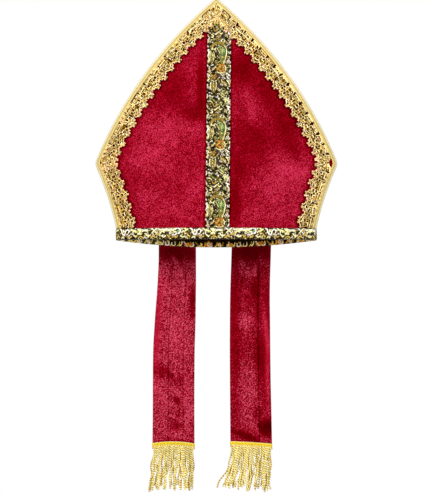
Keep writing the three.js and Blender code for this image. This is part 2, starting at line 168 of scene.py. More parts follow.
def evenly(points, count):
    # points at equal steps along a line of points
    points = np.asarray(points, float)
    run = runAlong(points)
    at = np.linspace(0, run[-1], count)
    return np.stack([np.interp(at, run, column) for column in points.T], -1)


def rounded(points, count):
    # the same through a Hermite curve, so that the section has no corners
    points = np.asarray(points, float)
    run = runAlong(points)
    at = np.linspace(0, run[-1], 20 * count)
    return evenly(np.stack([flow(run, column, at) for column in points.T], -1), count)


def bezier(a, b, c, t):
    # (1-t)^2 a + 2 t (1-t) b + t^2 c
    t = np.asarray(t, float)[..., None]
    return (1 - t) ** 2 * a + 2 * t * (1 - t) * b + t ** 2 * c


def slab(outer, inner):
    # two grids of one size sewn together along their four edges, as a wall of cloth
    rows, cols = outer.shape[:2]
    ids = np.arange(rows * cols).reshape(rows, cols)
    face = np.stack([ids[:-1, :-1], ids[1:, :-1], ids[1:, 1:], ids[:-1, 1:]], -1).reshape(-1, 4)
    edge = np.concatenate([ids[0, :-1], ids[:-1, -1], ids[-1, :0:-1], ids[:0:-1, 0]])
    after = np.roll(edge, -1)
    far = rows * cols
    wall = np.stack([edge, after, after + far, edge + far], -1)
    points = np.concatenate([outer.reshape(-1, 3), inner.reshape(-1, 3)])
    return points, np.concatenate([face, face[:, ::-1] + far, wall]), np.zeros((0, 3), int)


def bothFaces(value):
    # a value on a grid, for the slab's outer and inner face
    flat = value.reshape(-1, *value.shape[2:])
    return np.concatenate([flat, flat])


def tubes(paths, facing, wide, tall, sides):
    # an oval of half sizes wide and tall carried along each path, closed to a point at both ends
    tipReach = 0.6  # of the half width, past the end of the path
    strands, rings = paths.shape[:2]
    along = unit(np.gradient(paths, axis=1))
    side = unit(np.cross(along, facing))
    up = np.cross(side, along)
    turn = 2 * np.pi * np.arange(sides) / sides
    ring = (paths[:, :, None] + (wide[..., None] * np.cos(turn))[..., None] * side[:, :, None]
            + (tall[..., None] * np.sin(turn))[..., None] * up[:, :, None])
    first = paths[:, 0] - tipReach * wide[:, :1] * along[:, 0]
    last = paths[:, -1] + tipReach * wide[:, -1:] * along[:, -1]
    points = np.concatenate([ring.reshape(-1, 3), np.stack([first, last], 1).reshape(-1, 3)])
    ids = np.arange(strands * rings * sides).reshape(strands, rings, sides)
    nextSide = np.roll(ids, -1, 2)
    quads = np.stack([ids[:, :-1], nextSide[:, :-1], nextSide[:, 1:], ids[:, 1:]], -1).reshape(-1, 4)
    tip = strands * rings * sides + 2 * np.arange(strands)[:, None] + np.zeros((1, sides), int)
    start = np.stack([tip, nextSide[:, 0], ids[:, 0]], -1).reshape(-1, 3)
    end = np.stack([tip + 1, ids[:, -1], nextSide[:, -1]], -1).reshape(-1, 3)
    return points, quads, np.concatenate([start, end])


def alongTubes(value, sides, around=1):
    # a value for each ring, given to every vertex of the ring and to the two end points
    rings = np.repeat(value[:, :, None], sides, 2) * around
    kind = value.shape[2:]
    return np.concatenate([rings.reshape(-1, *kind), value[:, [0, -1]].reshape(-1, *kind)])


def addPiece(name, shape, material, node, uv=None, colours=None, values=None):
    # millimetre arrays into a mesh in metres, turned so that its volume is positive
    points, quads, tris = shape
    corners = np.concatenate([quads[:, [0, 1, 2]], quads[:, [0, 2, 3]], tris])
    a, b, c = points[corners].transpose(1, 0, 2)
    if (a * np.cross(b, c)).sum() < 0:
        quads = quads[:, ::-1]
        tris = tris[:, ::-1]
    loops = np.concatenate([quads.ravel(), tris.ravel()]).astype(np.int32)
    starts = np.concatenate([4 * np.arange(len(quads)), 4 * len(quads) + 3 * np.arange(len(tris))])
    mesh = bpy.data.meshes.new(name)
    mesh.vertices.add(len(points))
    mesh.vertices.foreach_set("co", (points * 0.001).astype(np.float32).ravel())
    mesh.loops.add(len(loops))
    mesh.loops.foreach_set("vertex_index", loops)
    mesh.polygons.add(len(starts))
    mesh.polygons.foreach_set("loop_start", starts.astype(np.int32))
    mesh.polygons.foreach_set("use_smooth", np.ones(len(starts), bool))
    mesh.update(calc_edges=True)
    if uv is not None:
        layer = mesh.uv_layers.new(name="cloth")
        layer.data.foreach_set("uv", uv[loops].astype(np.float32).ravel())
    if colours is not None:
        layer = mesh.attributes.new("dye", "FLOAT_COLOR", "POINT")
        rgba = np.concatenate([colours, np.ones((len(colours), 1))], 1)
        layer.data.foreach_set("color", rgba.astype(np.float32).ravel())
    for label, value in (values or {}).items():
        layer = mesh.attributes.new(label, "FLOAT", "POINT")
        layer.data.foreach_set("value", value.astype(np.float32).ravel())
    mesh.materials.append(material)
    piece = bpy.data.objects.new(name, mesh)
    scene.collection.objects.link(piece)
    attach(piece, "root")
    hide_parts(node)
    print("piece:", name, len(corners), "triangles")
    return piece


def turned(shape):
    # half a turn about the upright axis, for the back
    points, quads, tris = shape
    return points * (-1, -1, 1), quads, tris


def ripples(x, y, waves):
    # a sum of sines: count, longest and shortest wavelength, with seeded directions
    count, longest, shortest = waves
    total = np.zeros(np.broadcast(x, y).shape)
    for length in np.geomspace(longest, shortest, count):
        angle, phase = rng.uniform(0, 2 * np.pi, 2)
        total += np.sin(2 * np.pi * (x * np.cos(angle) + y * np.sin(angle)) / length + phase)
    return total / count


# Form of the mitre, in millimetres

form = {
    "rimHalf": 142.0,
    "bandTop": 16.0,
    "shoulderHalf": 173.5,
    "shoulderHeight": 110.0,
    "shoulderRounding": 7.0,
    "sideHollow": 2.5,
    "apex": 347.0,
    "upperBulge": 16.0,
    "rimDrop": 4.5,
    "rimDropEnds": 80.0,
    "bowRim": 40.0,
    "bowApex": 26.0,
    "seamGap": 1.6,
    "panelFace": 1.5,
    "trimFoot": 1.95,
    "gap": 0.3,
}
rimCorner = np.array([form["rimHalf"], form["bandTop"]])
shoulder = np.array([form["shoulderHalf"], form["shoulderHeight"]])
apex = np.array([0.0, form["apex"]])
sideControl = (rimCorner + shoulder) / 2 - (2 * form["sideHollow"], 0)
chord = unit(apex - shoulder)
bowControl = (shoulder + apex) / 2 + 2 * form["upperBulge"] * np.array([chord[1], -chord[0]])
flare = 2 * (shoulder[0] - sideControl[0]) / (shoulder[1] - rimCorner[1])


def halfChord(z):
    # half the width between the side seams: a quadratic up to the shoulder, straight on above it
    t = (z - rimCorner[1]) / (shoulder[1] - rimCorner[1])
    s = np.clip(t, 0, 1)
    side = (1 - s) ** 2 * rimCorner[0] + 2 * s * (1 - s) * sideControl[0] + s ** 2 * shoulder[0]
    return np.where(t > 1, shoulder[0] + flare * (z - shoulder[1]), side)


def bowDepth(x, z):
    # distance from the seams' plane: a parabola across, whose height falls with the square of z
    rise = np.clip(z / form["apex"], 0, 1) ** 2
    bow = form["bowRim"] + (form["bowApex"] - form["bowRim"]) * rise
    return form["seamGap"] + bow * (1 - (x / halfChord(z)) ** 2)


def bowNormal(x, z):
    # the front's outward normal, from the depth's slopes over one millimetre
    slopeX = bowDepth(x + 0.5, z) - bowDepth(x - 0.5, z)
    slopeZ = bowDepth(x, z + 0.5) - bowDepth(x, z - 0.5)
    return unit(np.stack([-slopeX, -np.ones_like(slopeX), -slopeZ], -1))


def cutHeight(x, z):
    # level lines near the rim follow its cut, which is lower at the middle
    fade = np.clip((form["rimDropEnds"] - z) / (form["rimDropEnds"] - form["bandTop"]), 0, 1)
    return z - form["rimDrop"] * (1 - (x / form["rimHalf"]) ** 2) * fade


def onFront(x, z, lift):
    # the point of the front panel's middle surface at x and z, moved out along its normal
    x, z, lift = np.broadcast_arrays(np.asarray(x, float), np.asarray(z, float), np.asarray(lift, float))
    height = cutHeight(x, z)
    middle = np.stack([x, -bowDepth(x, height), height], -1)
    return middle + lift[..., None] * bowNormal(x, height)


def outline(startHeight, count):
    # the whole outline, left rim corner to right, with the vector that leads in from each point
    t = np.linspace(0, 1, 300)
    before = shoulder + form["shoulderRounding"] * unit(sideControl - shoulder)
    after = shoulder + form["shoulderRounding"] * unit(bowControl - shoulder)
    run = np.concatenate([bezier(rimCorner, sideControl, before, t), bezier(before, shoulder, after, t)[1:],
                          bezier(after, bowControl, apex, t)[1:]])
    run = np.concatenate([[(rimCorner[0], startHeight)], run[run[:, 1] > startHeight]])
    right = evenly(run, count)
    points = np.concatenate([right * (-1, 1), right[-2::-1]])
    along = unit(np.diff(points, axis=0))
    normal = np.stack([along[:, 1], -along[:, 0]], -1)
    a, b = normal[:-1], normal[1:]
    inward = (a + b) / (1 + (a * b).sum(1, keepdims=True))
    ends = np.array([[1 / normal[0, 0], 0], [1 / normal[-1, 0], 0]])
    return points, np.concatenate([ends[:1], inward, ends[1:]])


# Where the lace and the upright ribbon lie, which the velvet's shadows need too

lace = {
    "sideRepeats": 6,
    "upperRepeats": 18,
    "repeat": 16.2,
    "steps": 40,  # points of the guide for each repeat
    "fan": (30, 45, 70),  # how far the fanning reaches from rim, shoulder and apex
    "start": 7.3,
    "valley": 20.4,
    "scallop": 3.4,
    "point": 1.4,  # power that makes the scallops pointed
    "deeper": 2.6,
    "lowCut": 0.65,
    "tuck": 1.7,
    "tuckRun": 11.2,
    "climb": 1.1,
    "climbRun": (24.6, 8),  # over the upright ribbon
    "limits": (0.6, 24.6),
    "endGap": 0.03,
    "cutDepth": (14, 19),  # where the cut sets in, measured from the outer edge
    "tallest": (0.62, 0.9),  # strands, picots
    "lowest": 0.6,
    "turnStep": 0.37,
    "corner": (3.2, 0.55, 0.2),  # pull, then the repeats over which it sets in
    "cornerDepth": (7, 1.5),
    "picots": 4,
    "picotSpan": (0.14, 0.72),
    "picotPlain": (0.75, 0.15),  # of gold and cream
    "openMore": 1.3,
    "openDepth": (7.4, 5.5),
    "open": 0.055,  # gaps beside the binding along the right upper edge, closed elsewhere
    "closerDepth": (7, 4),
    "outerDepth": (3.5, 1.5),
    "closer": 0.4,  # outer strands thicker where the gaps are closed, and duller
    # painted shade over the lace low on the left side
    "lowLeftShade": (0.93, 0.87, 0.80),
    "outerLeft": (0.92, 0.82, 0.68),
    "ribs": 7,
    "ribSpan": (0.12, 0.76),  # first place and run, as shares of the repeat
    "rings": 7,
    "sides": 5,
    "jitter": 0.5,
    "strays": 0.2,
    "shade": (0.5, 1.46),
}
upright = {
    "rows": 520,
    "cols": 56,
    "half": 16.6,
    "foot": 16.3,
    "lean": (1.4, 4.6),
    "topInset": 7.6,
    "headRoom": 17.0,
    "edgeSteps": 400,
    "thickness": 0.8,
    "sunk": 0.15,
    "contrast": 1.3,
    "gain": 1.3,
    "tint": (1, 0.94, 1),
}


def laceGuide(l):
    # the outline by repeats, and the vector that leads in from it, fanned round each corner
    start = np.array([-rimCorner[0], form["bandTop"] + form["gap"]])
    mirrored = np.array([-1, 1])
    t = np.linspace(0, 1, 2001)
    runs = []
    for a, b, c, repeats in ((start, sideControl * mirrored, shoulder * mirrored, l["sideRepeats"]),
                             (shoulder * mirrored, bowControl * mirrored, apex, l["upperRepeats"])):
        points = evenly(bezier(a, b, c, t), repeats * l["steps"] + 1)
        run = runAlong(points)
        runs.append((points, unit(np.gradient(points, axis=0)), run, run[-1] - run))
    first, sideEnd = runs[0][1][0], runs[0][1][-1]
    upperStart, upperEnd = runs[1][1][0], runs[1][1][-1]
    turn = abs(math.atan2(sideEnd[1], sideEnd[0]) - math.atan2(upperStart[1], upperStart[0]))
    corner = math.tan(turn / 2)
    rimFan, shoulderFan, apexFan = l["fan"]
    leans = (((first[0] / first[1], rimFan, 0), (-corner, shoulderFan, l["tuck"])),
             ((corner, shoulderFan, l["tuck"]), (-upperEnd[1] / upperEnd[0], apexFan, 0)))
    places, inwards = [], []
    for (points, along, before, after), ends in zip(runs, leans):
        lean, tuck = np.zeros(len(points)), np.zeros(len(points))
        for (amount, reach, push), distance in zip(ends, (before, after)):
            lean += amount * np.maximum(0, 1 - distance / reach) ** 2
            tuck += push * np.maximum(0, 1 - distance / l["tuckRun"])
        inward = np.stack([along[:, 1], -along[:, 0]], -1) + lean[:, None] * along
        places.append(points + tuck[:, None] * inward)
        inwards.append(inward)
    left = np.concatenate([places[0], places[1][1:]])
    leftIn = np.concatenate([inwards[0], inwards[1][1:]])
    place = np.concatenate([left, left[-2::-1] * mirrored])
    inward = np.concatenate([leftIn, leftIn[-2::-1] * mirrored])
    return np.arange(len(place)) / l["steps"], place, inward


laceMarks, lacePlace, laceInward = laceGuide(lace)
laceRepeats = 2 * (lace["sideRepeats"] + lace["upperRepeats"])


def laceCut(u, r):
    # the valleys are cut deeper all along but low on the left: |2u - 1|^1.4, faded in along the repeats r
    low = lace["lowCut"] + (1 - lace["lowCut"]) * smooth(r, lace["sideRepeats"] + 3, lace["sideRepeats"] + 8)
    return lace["deeper"] * np.minimum(np.abs(2 * u - 1), 1) ** lace["point"] * low


def laceEdge(u, r):
    # how far the pointed scallop reaches in: valley + scallop (1 - |2u - 1|^1.4), less the cut
    return lace["valley"] + lace["scallop"] * (1 - np.abs(2 * u - 1) ** lace["point"]) - laceCut(u, r)


def laceFoot(r, q):
    # x and z of the point r repeats along the outline and q in from the lace's outer edge
    reach = lace["start"] + q
    return [np.interp(r, laceMarks, lacePlace[:, k]) + np.interp(r, laceMarks, laceInward[:, k]) * reach
            for k in (0, 1)]


# Shader parts


def mathNode(tree, operation, *values):
    node = addNode(tree, "ShaderNodeMath", operation=operation)
    for socket, value in zip(node.inputs, values):
        if isinstance(value, (int, float)):
            socket.default_value = value
        else:
            tree.links.new(value, socket)
    return node.outputs[0]


def plus(tree, total, *values):
    for value in values:
        total = mathNode(tree, "ADD", total, value)
    return total


def times(tree, first, second):
    return mathNode(tree, "MULTIPLY", first, second)


def mixColours(tree, blend, amount, first, second):
    node = addNode(tree, "ShaderNodeMix", data_type="RGBA", blend_type=blend)
    for socket, value in ((node.inputs[0], amount), (node.inputs[6], first), (node.inputs[7], second)):
        if isinstance(value, (int, float, tuple)):
            socket.default_value = value
        else:
            tree.links.new(value, socket)
    return node.outputs[2]


def rampNode(tree, value, stops):
    node = tree.nodes.new("ShaderNodeValToRGB")
    ramp = node.color_ramp
    while len(ramp.elements) < len(stops):
        ramp.elements.new(1)
    for element, (place, *colour) in zip(ramp.elements, stops):
        element.position = place
        element.color = (*colour, 1)
    tree.links.new(value, node.inputs[0])
    return node.outputs[0]


def newGroup(name, inputs):
    # a group with a vector and named numbers going in, and a tone and a height coming out
    group = bpy.data.node_groups.new(name, "ShaderNodeTree")
    group.interface.new_socket(name="Vector", in_out="INPUT", socket_type="NodeSocketVector")
    for label, value in inputs.items():
        socket = group.interface.new_socket(name=label, in_out="INPUT", socket_type="NodeSocketFloat")
        socket.default_value = value
    for label in ("Tone", "Height"):
        group.interface.new_socket(name=label, in_out="OUTPUT", socket_type="NodeSocketFloat")
    return group, group.nodes.new("NodeGroupInput").outputs, group.nodes.new("NodeGroupOutput").inputs


def makePileGrain():
    # velvet pile: grain, single tufts, leaning streaks, broad brushed patches and bright flecks, added up
    group, given, out = newGroup("pileGrain", {
        "Grain": 60, "Streaks": 14, "Patches": 3, "Lean": 0.6, "Flecks": 0.3})
    grain = addNode(group, "ShaderNodeTexNoise", Detail=1.5, Roughness=0.6)
    tufts = addNode(group, "ShaderNodeTexVoronoi", feature="F1")
    fleck = addNode(group, "ShaderNodeTexVoronoi", feature="F1")
    nearFleck = addNode(group, "ShaderNodeMapRange", interpolation_type="SMOOTHSTEP", From_Min=0.52,
                        From_Max=0.16, To_Min=0.0, To_Max=1.0)
    lean = addNode(group, "ShaderNodeVectorRotate", rotation_type="Z_AXIS")
    stretch = addNode(group, "ShaderNodeMapping", Scale=(1, 0.32, 1))
    streaks = addNode(group, "ShaderNodeTexNoise", Detail=4, Roughness=0.6, Distortion=0.6)
    patches = addNode(group, "ShaderNodeTexNoise", Detail=2, Roughness=0.5, Distortion=0.4)
    for node in (grain, tufts, fleck, lean, patches):
        group.links.new(given["Vector"], node.inputs["Vector"])
    joinNodes(group, (given["Grain"], grain.inputs["Scale"]), (given["Grain"], fleck.inputs["Scale"]),
              (times(group, given["Grain"], 1.25), tufts.inputs["Scale"]),
              (given["Lean"], lean.inputs["Angle"]),
              (lean.outputs[0], stretch.inputs["Vector"]), (stretch.outputs[0], streaks.inputs["Vector"]),
              (given["Streaks"], streaks.inputs["Scale"]), (given["Patches"], patches.inputs["Scale"]),
              (fleck.outputs["Distance"], nearFleck.inputs["Value"]))
    picked = mathNode(group, "GREATER_THAN", fleck.outputs["Color"], 0.48)
    chosen = times(group, nearFleck.outputs[0], picked)
    tone = plus(group, times(group, grain.outputs["Fac"], 0.50), times(group, tufts.outputs["Color"], 0.26),
                times(group, streaks.outputs["Fac"], 0.14), times(group, patches.outputs["Fac"], 0.10),
                times(group, chosen, given["Flecks"]))
    joinNodes(group, (tone, out["Tone"]), (grain.outputs["Fac"], out["Height"]))
    return group


def makeThreadTwist():
    # spun thread: bright and dark stripes that wind round it, sin(2 pi (turns * along + around))
    group, given, out = newGroup("threadTwist", {"Turns": 60, "Wear": 30})
    parts = addNode(group, "ShaderNodeSeparateXYZ")
    wear = addNode(group, "ShaderNodeTexNoise", Detail=2)
    joinNodes(group, (given["Vector"], parts.inputs[0]), (given["Vector"], wear.inputs["Vector"]),
              (given["Wear"], wear.inputs["Scale"]))
    run = plus(group, times(group, parts.outputs["Y"], given["Turns"]), parts.outputs["X"])
    wave = mathNode(group, "SINE", times(group, run, 2 * math.pi))
    half = mathNode(group, "MULTIPLY_ADD", wave, 0.5, 0.5)
    tone = plus(group, times(group, half, 0.6), times(group, wear.outputs["Fac"], 0.4))
    joinNodes(group, (tone, out["Tone"]), (half, out["Height"]))
    return group


def makeWeaveGrid():
    # woven cloth: two sets of rounded threads crossing, |sin| of each direction, the larger on top
    group, given, out = newGroup("weaveGrid", {"Threads": 100, "Slant": 0.5})
    parts = addNode(group, "ShaderNodeSeparateXYZ")
    uneven = addNode(group, "ShaderNodeTexNoise", Detail=2, Scale=40)
    joinNodes(group, (given["Vector"], parts.inputs[0]), (given["Vector"], uneven.inputs["Vector"]))
    slanted = plus(group, parts.outputs["X"], times(group, parts.outputs["Y"], given["Slant"]))
    ridges = []
    for way in (slanted, parts.outputs["Y"]):
        wave = mathNode(group, "SINE", times(group, times(group, way, given["Threads"]), math.pi))
        ridges.append(mathNode(group, "ABSOLUTE", wave))
    top = mathNode(group, "MAXIMUM", *ridges)
    tone = plus(group, times(group, top, 0.5), times(group, uneven.outputs["Fac"], 0.5))
    joinNodes(group, (tone, out["Tone"]), (top, out["Height"]))
    return group


pileGrain = makePileGrain()
threadTwist = makeThreadTwist()
weaveGrid = makeWeaveGrid()
print("node groups: pile, twist and weave")


def newMaterial(name, **shaderValues):
    material = bpy.data.materials.new(name)
    material.use_nodes = True
    tree = material.node_tree
    shader = tree.nodes["Principled BSDF"]
    for label, value in shaderValues.items():
        shader.inputs[label.replace("_", " ")].default_value = value
    return material, tree, shader


def clothVector(tree):
    return addNode(tree, "ShaderNodeUVMap", uv_map="cloth").outputs[0]


def useGroup(tree, group, **settings):
    node = addNode(tree, "ShaderNodeGroup", node_tree=group)
    tree.links.new(clothVector(tree), node.inputs["Vector"])
    for key, value in settings.items():
        node.inputs[key].default_value = value
    return node.outputs


def addBump(tree, shader, height, strength, distance):
    bump = addNode(tree, "ShaderNodeBump", Strength=strength, Distance=distance)
    joinNodes(tree, (height, bump.inputs["Height"]), (bump.outputs[0], shader.inputs["Normal"]))


def attributeNode(tree, name):
    return addNode(tree, "ShaderNodeAttribute", attribute_name=name)


def dyeThreads(tree, shader, dye, threads, dark, light, bump):
    # the dye made darker and lighter by the threads' tone, with their height as bump
    tint = rampNode(tree, threads["Tone"], (dark, light))
    joinNodes(tree, (mixColours(tree, "MULTIPLY", 1.0, dye, tint), shader.inputs["Base Color"]))
    addBump(tree, shader, threads["Height"], *bump)


# Red velvet: panels and lappets

panelCloth = {
    "front": (190, 180),  # rows and columns; the front has shadows under the trim to carry
    "back": (70, 70),
    "startHeight": 1.8,
    "edgeInset": 1.6,
    "edgeFade": 6,
    "tipHalf": 1.0,
    "tipDrop": 4,
    "ripple": 0.18,
    "rippleTop": 0.1,
    "waves": (9, 90, 24),
    "backTone": (0.10, (6, 160, 50)),
}
trimShadow = {"under": 0.22, "lace": 0.24, "laceReach": 2.0, "ribbon": 0.28, "ribbonReach": 1.8}
panelPile = {
    "grain": 80.0,
    "streaks": 20.0,
    "patches": 4.0,
    "lean": 0.7,
    "contrast": 3.2,
    "level": 0.42,
    "flecks": 0.16,
    "tint": (1.0, 0.36, 0.65),
}
lappetPile = {
    "grain": 64.0,
    "streaks": 18.0,
    "patches": 5.0,
    "lean": 0.2,
    "contrast": 3.8,
    "level": 0.42,
    "flecks": 0.19,
    "tint": (1.0, 0.66, 0.82),
}
# place on the tone, then the dye
velvetDyes = readRows("""
    0 0.02 0 0.0004; 0.1 0.05 0 0.0008; 0.215 0.0975 0 0.0015; 0.27 0.128 0 0.0019
    0.31 0.151 0.0002 0.003; 0.38 0.19 0.0006 0.0062; 0.464 0.235 0.0018 0.0125
    0.524 0.268 0.0028 0.0165; 0.62 0.322 0.0088 0.03; 0.73 0.381 0.0205 0.05; 0.85 0.447 0.043 0.077
    1 0.54 0.105 0.155
""")
backingDyes = ((0.2, 0.10, 0.0, 0.006), (0.9, 0.22, 0.004, 0.016))
# brushed marks in the front's pile: x and z of the middle, half length, half width, turn in degrees, tone
panelMarks = readRows("""
    47 186 26 8 -75 0.12; 66 150 26 16 -50 -0.06; 88 82 36 26 20 0.19; 116 98 24 16 0 0.14
    70 36 40 14 10 0.11; 112 44 18 22 0 0.08; 33 240 26 18 90 -0.14; 46 132 36 25 -50 -0.12
    100 140 34 13 -60 -0.11; 27 50 42 8 90 -0.14; 34 96 20 10 -60 -0.12; 84 194 64 20 -52 -0.13
    64 60 60 40 0 -0.03; -80 143 44 28 55 0.12; -37 158 22 10 -30 0.1; -76 98 16 9 0 0.1
    -30 66 24 9 60 0.1; -101 112 22 12 30 0.12; -96 62 16 10 0 0.1; -32 174 30 14 30 -0.12
    -22 220 40 6 90 -0.16; -118 86 20 13 90 -0.05; -60 40 50 12 0 0.05; -64 208 36 20 55 -0.11
    163 110 8 8 0 0.34; -50 186 20 14 40 -0.08
""")


def brushed(x, y, marks):
    # each mark adds an oval with a soft edge: tone * exp(-((along/length)^2 + (across/width)^2)^1.5)
    total = np.zeros(np.broadcast(x, y).shape)
    for markX, markY, length, width, turn, tone in marks:
        c, s = math.cos(math.radians(turn)), math.sin(math.radians(turn))
        along = (x - markX) * c + (y - markY) * s
        across = (y - markY) * c - (x - markX) * s
        total += tone * np.exp(-((along / length) ** 2 + (across / width) ** 2) ** 1.5)
    return total


def napUnder(tone):
    # darker tone, whether brushed pile or painted shade, shows little grain: 1 + 4 tone, kept between 0.22
    # and 1.3
    return np.clip(1 + 4 * tone, 0.22, 1.3)


def velvetMaterial(name, pile):
    # tone from the grain, the brushed marks and the painted shade picks the dye; the cloth's wrong side has
    # no pile
    material, tree, shader = newMaterial(name, Roughness=0.9, Sheen_Weight=0.02, Sheen_Roughness=0.4,
                                         Sheen_Tint=(1, 0.1, 0.2, 1), Specular_IOR_Level=0.0)
    grain = useGroup(tree, pileGrain, **{key.title(): pile[key] for key in (
        "grain", "streaks", "patches", "lean", "flecks")})
    brushAndShade = attributeNode(tree, "brushAndShade").outputs["Fac"]
    back = attributeNode(tree, "wrongSide").outputs["Fac"]
    nap = times(tree, attributeNode(tree, "nap").outputs["Fac"], pile["contrast"])
    centred = mathNode(tree, "SUBTRACT", grain["Tone"], 0.5)
    swing = times(tree, mathNode(tree, "MAXIMUM", centred, -0.05), nap)  # bright flecks, few dark ones
    dyed = rampNode(tree, plus(tree, swing, brushAndShade, pile["level"]), velvetDyes)
    dyed = mixColours(tree, "MULTIPLY", 1.0, dyed, (*pile["tint"], 1))
    plain = rampNode(tree, useGroup(tree, weaveGrid, Threads=90.0, Slant=0.0)["Tone"], backingDyes)
    joinNodes(tree, (mixColours(tree, "MIX", back, dyed, plain), shader.inputs["Base Color"]))
    addBump(tree, shader, grain["Height"], 0.5, 0.0006)
    return material


panelVelvet = velvetMaterial("panelVelvet", panelPile)
lappetVelvet = velvetMaterial("lappetVelvet", lappetPile)


def panelShape(p, rows, cols):
    # rows rise along the inset outline, each row spans the width at its height; two faces 3 mm apart
    points, inward = outline(p["startHeight"], rows)
    edge = (points + p["edgeInset"] * inward)[rows - 1:][::-1]
    half = np.maximum(edge[:, :1], p["tipHalf"])
    share = np.linspace(-1, 1, cols)
    x = half * share
    z = np.minimum(edge[:, 1:], form["apex"] - p["tipDrop"]) + 0 * x
    wave = p["ripple"] * ripples(x, z, p["waves"]) * np.minimum(1, (1 - np.abs(share)) * p["edgeFade"])
    outer = onFront(x, z, form["panelFace"] + np.minimum(wave, p["rippleTop"]))
    inner = onFront(x, z, -form["panelFace"])
    return x, z, slab(outer, inner), bothFaces(np.stack([x, z], -1) / 100)


def trimShade(x, z, t):
    # painted shade under the lace, where the pile is also flattened, and a painted shadow line beside lace
    # and ribbon: exp(-(distance/reach)^2)
    r = np.linspace(0, laceRepeats, laceRepeats * 20 + 1)
    edge = np.stack(laceFoot(r, laceEdge(r % 1, r)), -1)
    inward = np.stack([np.interp(r, laceMarks, laceInward[:, k]) for k in (0, 1)], -1)
    shade = np.zeros(x.shape)
    column = np.arange(x.shape[1])
    for k in range(len(x)):  # row by row, to keep the table of distances small
        gap = np.stack([x[k], z[k]], -1)[:, None] - edge
        distance = np.hypot(gap[..., 0], gap[..., 1])
        near = distance.argmin(1)
        signed = distance[column, near] * np.sign((gap[column, near] * inward[near]).sum(1))
        beside = np.exp(-(np.maximum(signed, 0) / t["laceReach"]) ** 2)
        shade[k] = -t["under"] * smooth(signed, 0.6, -1.4) - t["lace"] * beside
    foot, head = upright["lean"]
    share = np.clip((z - upright["foot"]) / (form["apex"] - upright["headRoom"] - upright["foot"]), 0, 1)
    fromRibbon = np.abs(x - foot - (head - foot) * share) - upright["half"]
    return np.minimum(shade, -t["ribbon"] * np.exp(-(np.maximum(fromRibbon, 0) / t["ribbonReach"]) ** 2))


for name in ("front", "back"):
    panelX, panelZ, panelMesh, panelUv = panelShape(panelCloth, *panelCloth[name])
    if name == "front":
        # brushed pile tone, plus the trim's painted shade and painted shadow
        panelBrushAndShade = brushed(panelX, panelZ, panelMarks) + trimShade(panelX, panelZ, trimShadow)
    else:
        panelMesh = turned(panelMesh)
        panelBrushAndShade = panelCloth["backTone"][0] * ripples(panelX, panelZ, panelCloth["backTone"][1])
    insideOnly = np.concatenate([np.zeros(panelX.size), np.ones(panelX.size)])
    addPiece("velvet" + name.title(), panelMesh, panelVelvet, name + "_panel", panelUv,
             values={"brushAndShade": bothFaces(panelBrushAndShade), "wrongSide": insideOnly,
                     "nap": bothFaces(napUnder(panelBrushAndShade))})

# Gold binding round the panels' edges

binding = {
    "stations": 170,
    "around": 36,
    "width": 7.0,
    "startHeight": 16.3,
    "roll": 2.8,  # radius of the fold round the edge
    "rollSteps": 9,
    "channel": (1.3, 1.8),  # room for the panel's edge: in from the outline, lift
    "pucker": 0.12,
    "puckerWaves": ((2.1, 0), (3.3, 1), (1.3, 2)),
}
bindingLeg = (  # in from the outline, lift: edge cord, dip, flat, crease, roll
    (7.0, 1.85), (7.0, 2.5), (6.7, 3.0), (6.2, 3.0), (5.85, 2.35), (5.2, 2.7), (4.5, 2.7), (4.0, 2.3),
    (3.2, 2.85),
)
# share from the front edge round to the back edge, then the dye; the pale bands round the roll are painted
# highlight, and the two dark lines on the front leg are painted shade
bindingDyesAndPaintedLight = readRows("""
    0 0.76 0.55 0.16; 0.05 0.94 0.76 0.34; 0.09 0.86 0.67 0.26; 0.12 0.56 0.42 0.13
    0.155 0.62 0.48 0.17; 0.2 0.6 0.48 0.17; 0.235 0.31 0.24 0.06; 0.265 0.62 0.55 0.31
    0.29 0.64 0.57 0.37; 0.34 0.8 0.74 0.56; 0.44 0.8 0.72 0.48; 0.5 0.38 0.33 0.15; 0.58 0.68 0.53 0.22
    0.8 0.62 0.46 0.16; 1 0.56 0.4 0.12
""")


def bindingMaterial():
    # the dye, with painted highlight and painted shade, changes across the tape, and ribs wind along it
    material, tree, shader = newMaterial("bindingSatin", Roughness=0.4, Metallic=0.15,
                                         Specular_IOR_Level=0.25)
    parts = addNode(tree, "ShaderNodeSeparateXYZ")
    tree.links.new(clothVector(tree), parts.inputs[0])
    dye = rampNode(tree, parts.outputs["X"], bindingDyesAndPaintedLight)
    ribs = useGroup(tree, threadTwist, Turns=1.1, Wear=7.0)
    dyeThreads(tree, shader, dye, ribs, (0.1, 0.72, 0.68, 0.6), (0.8, 1.08, 1.08, 1.05), (0.35, 0.0003))
    return material


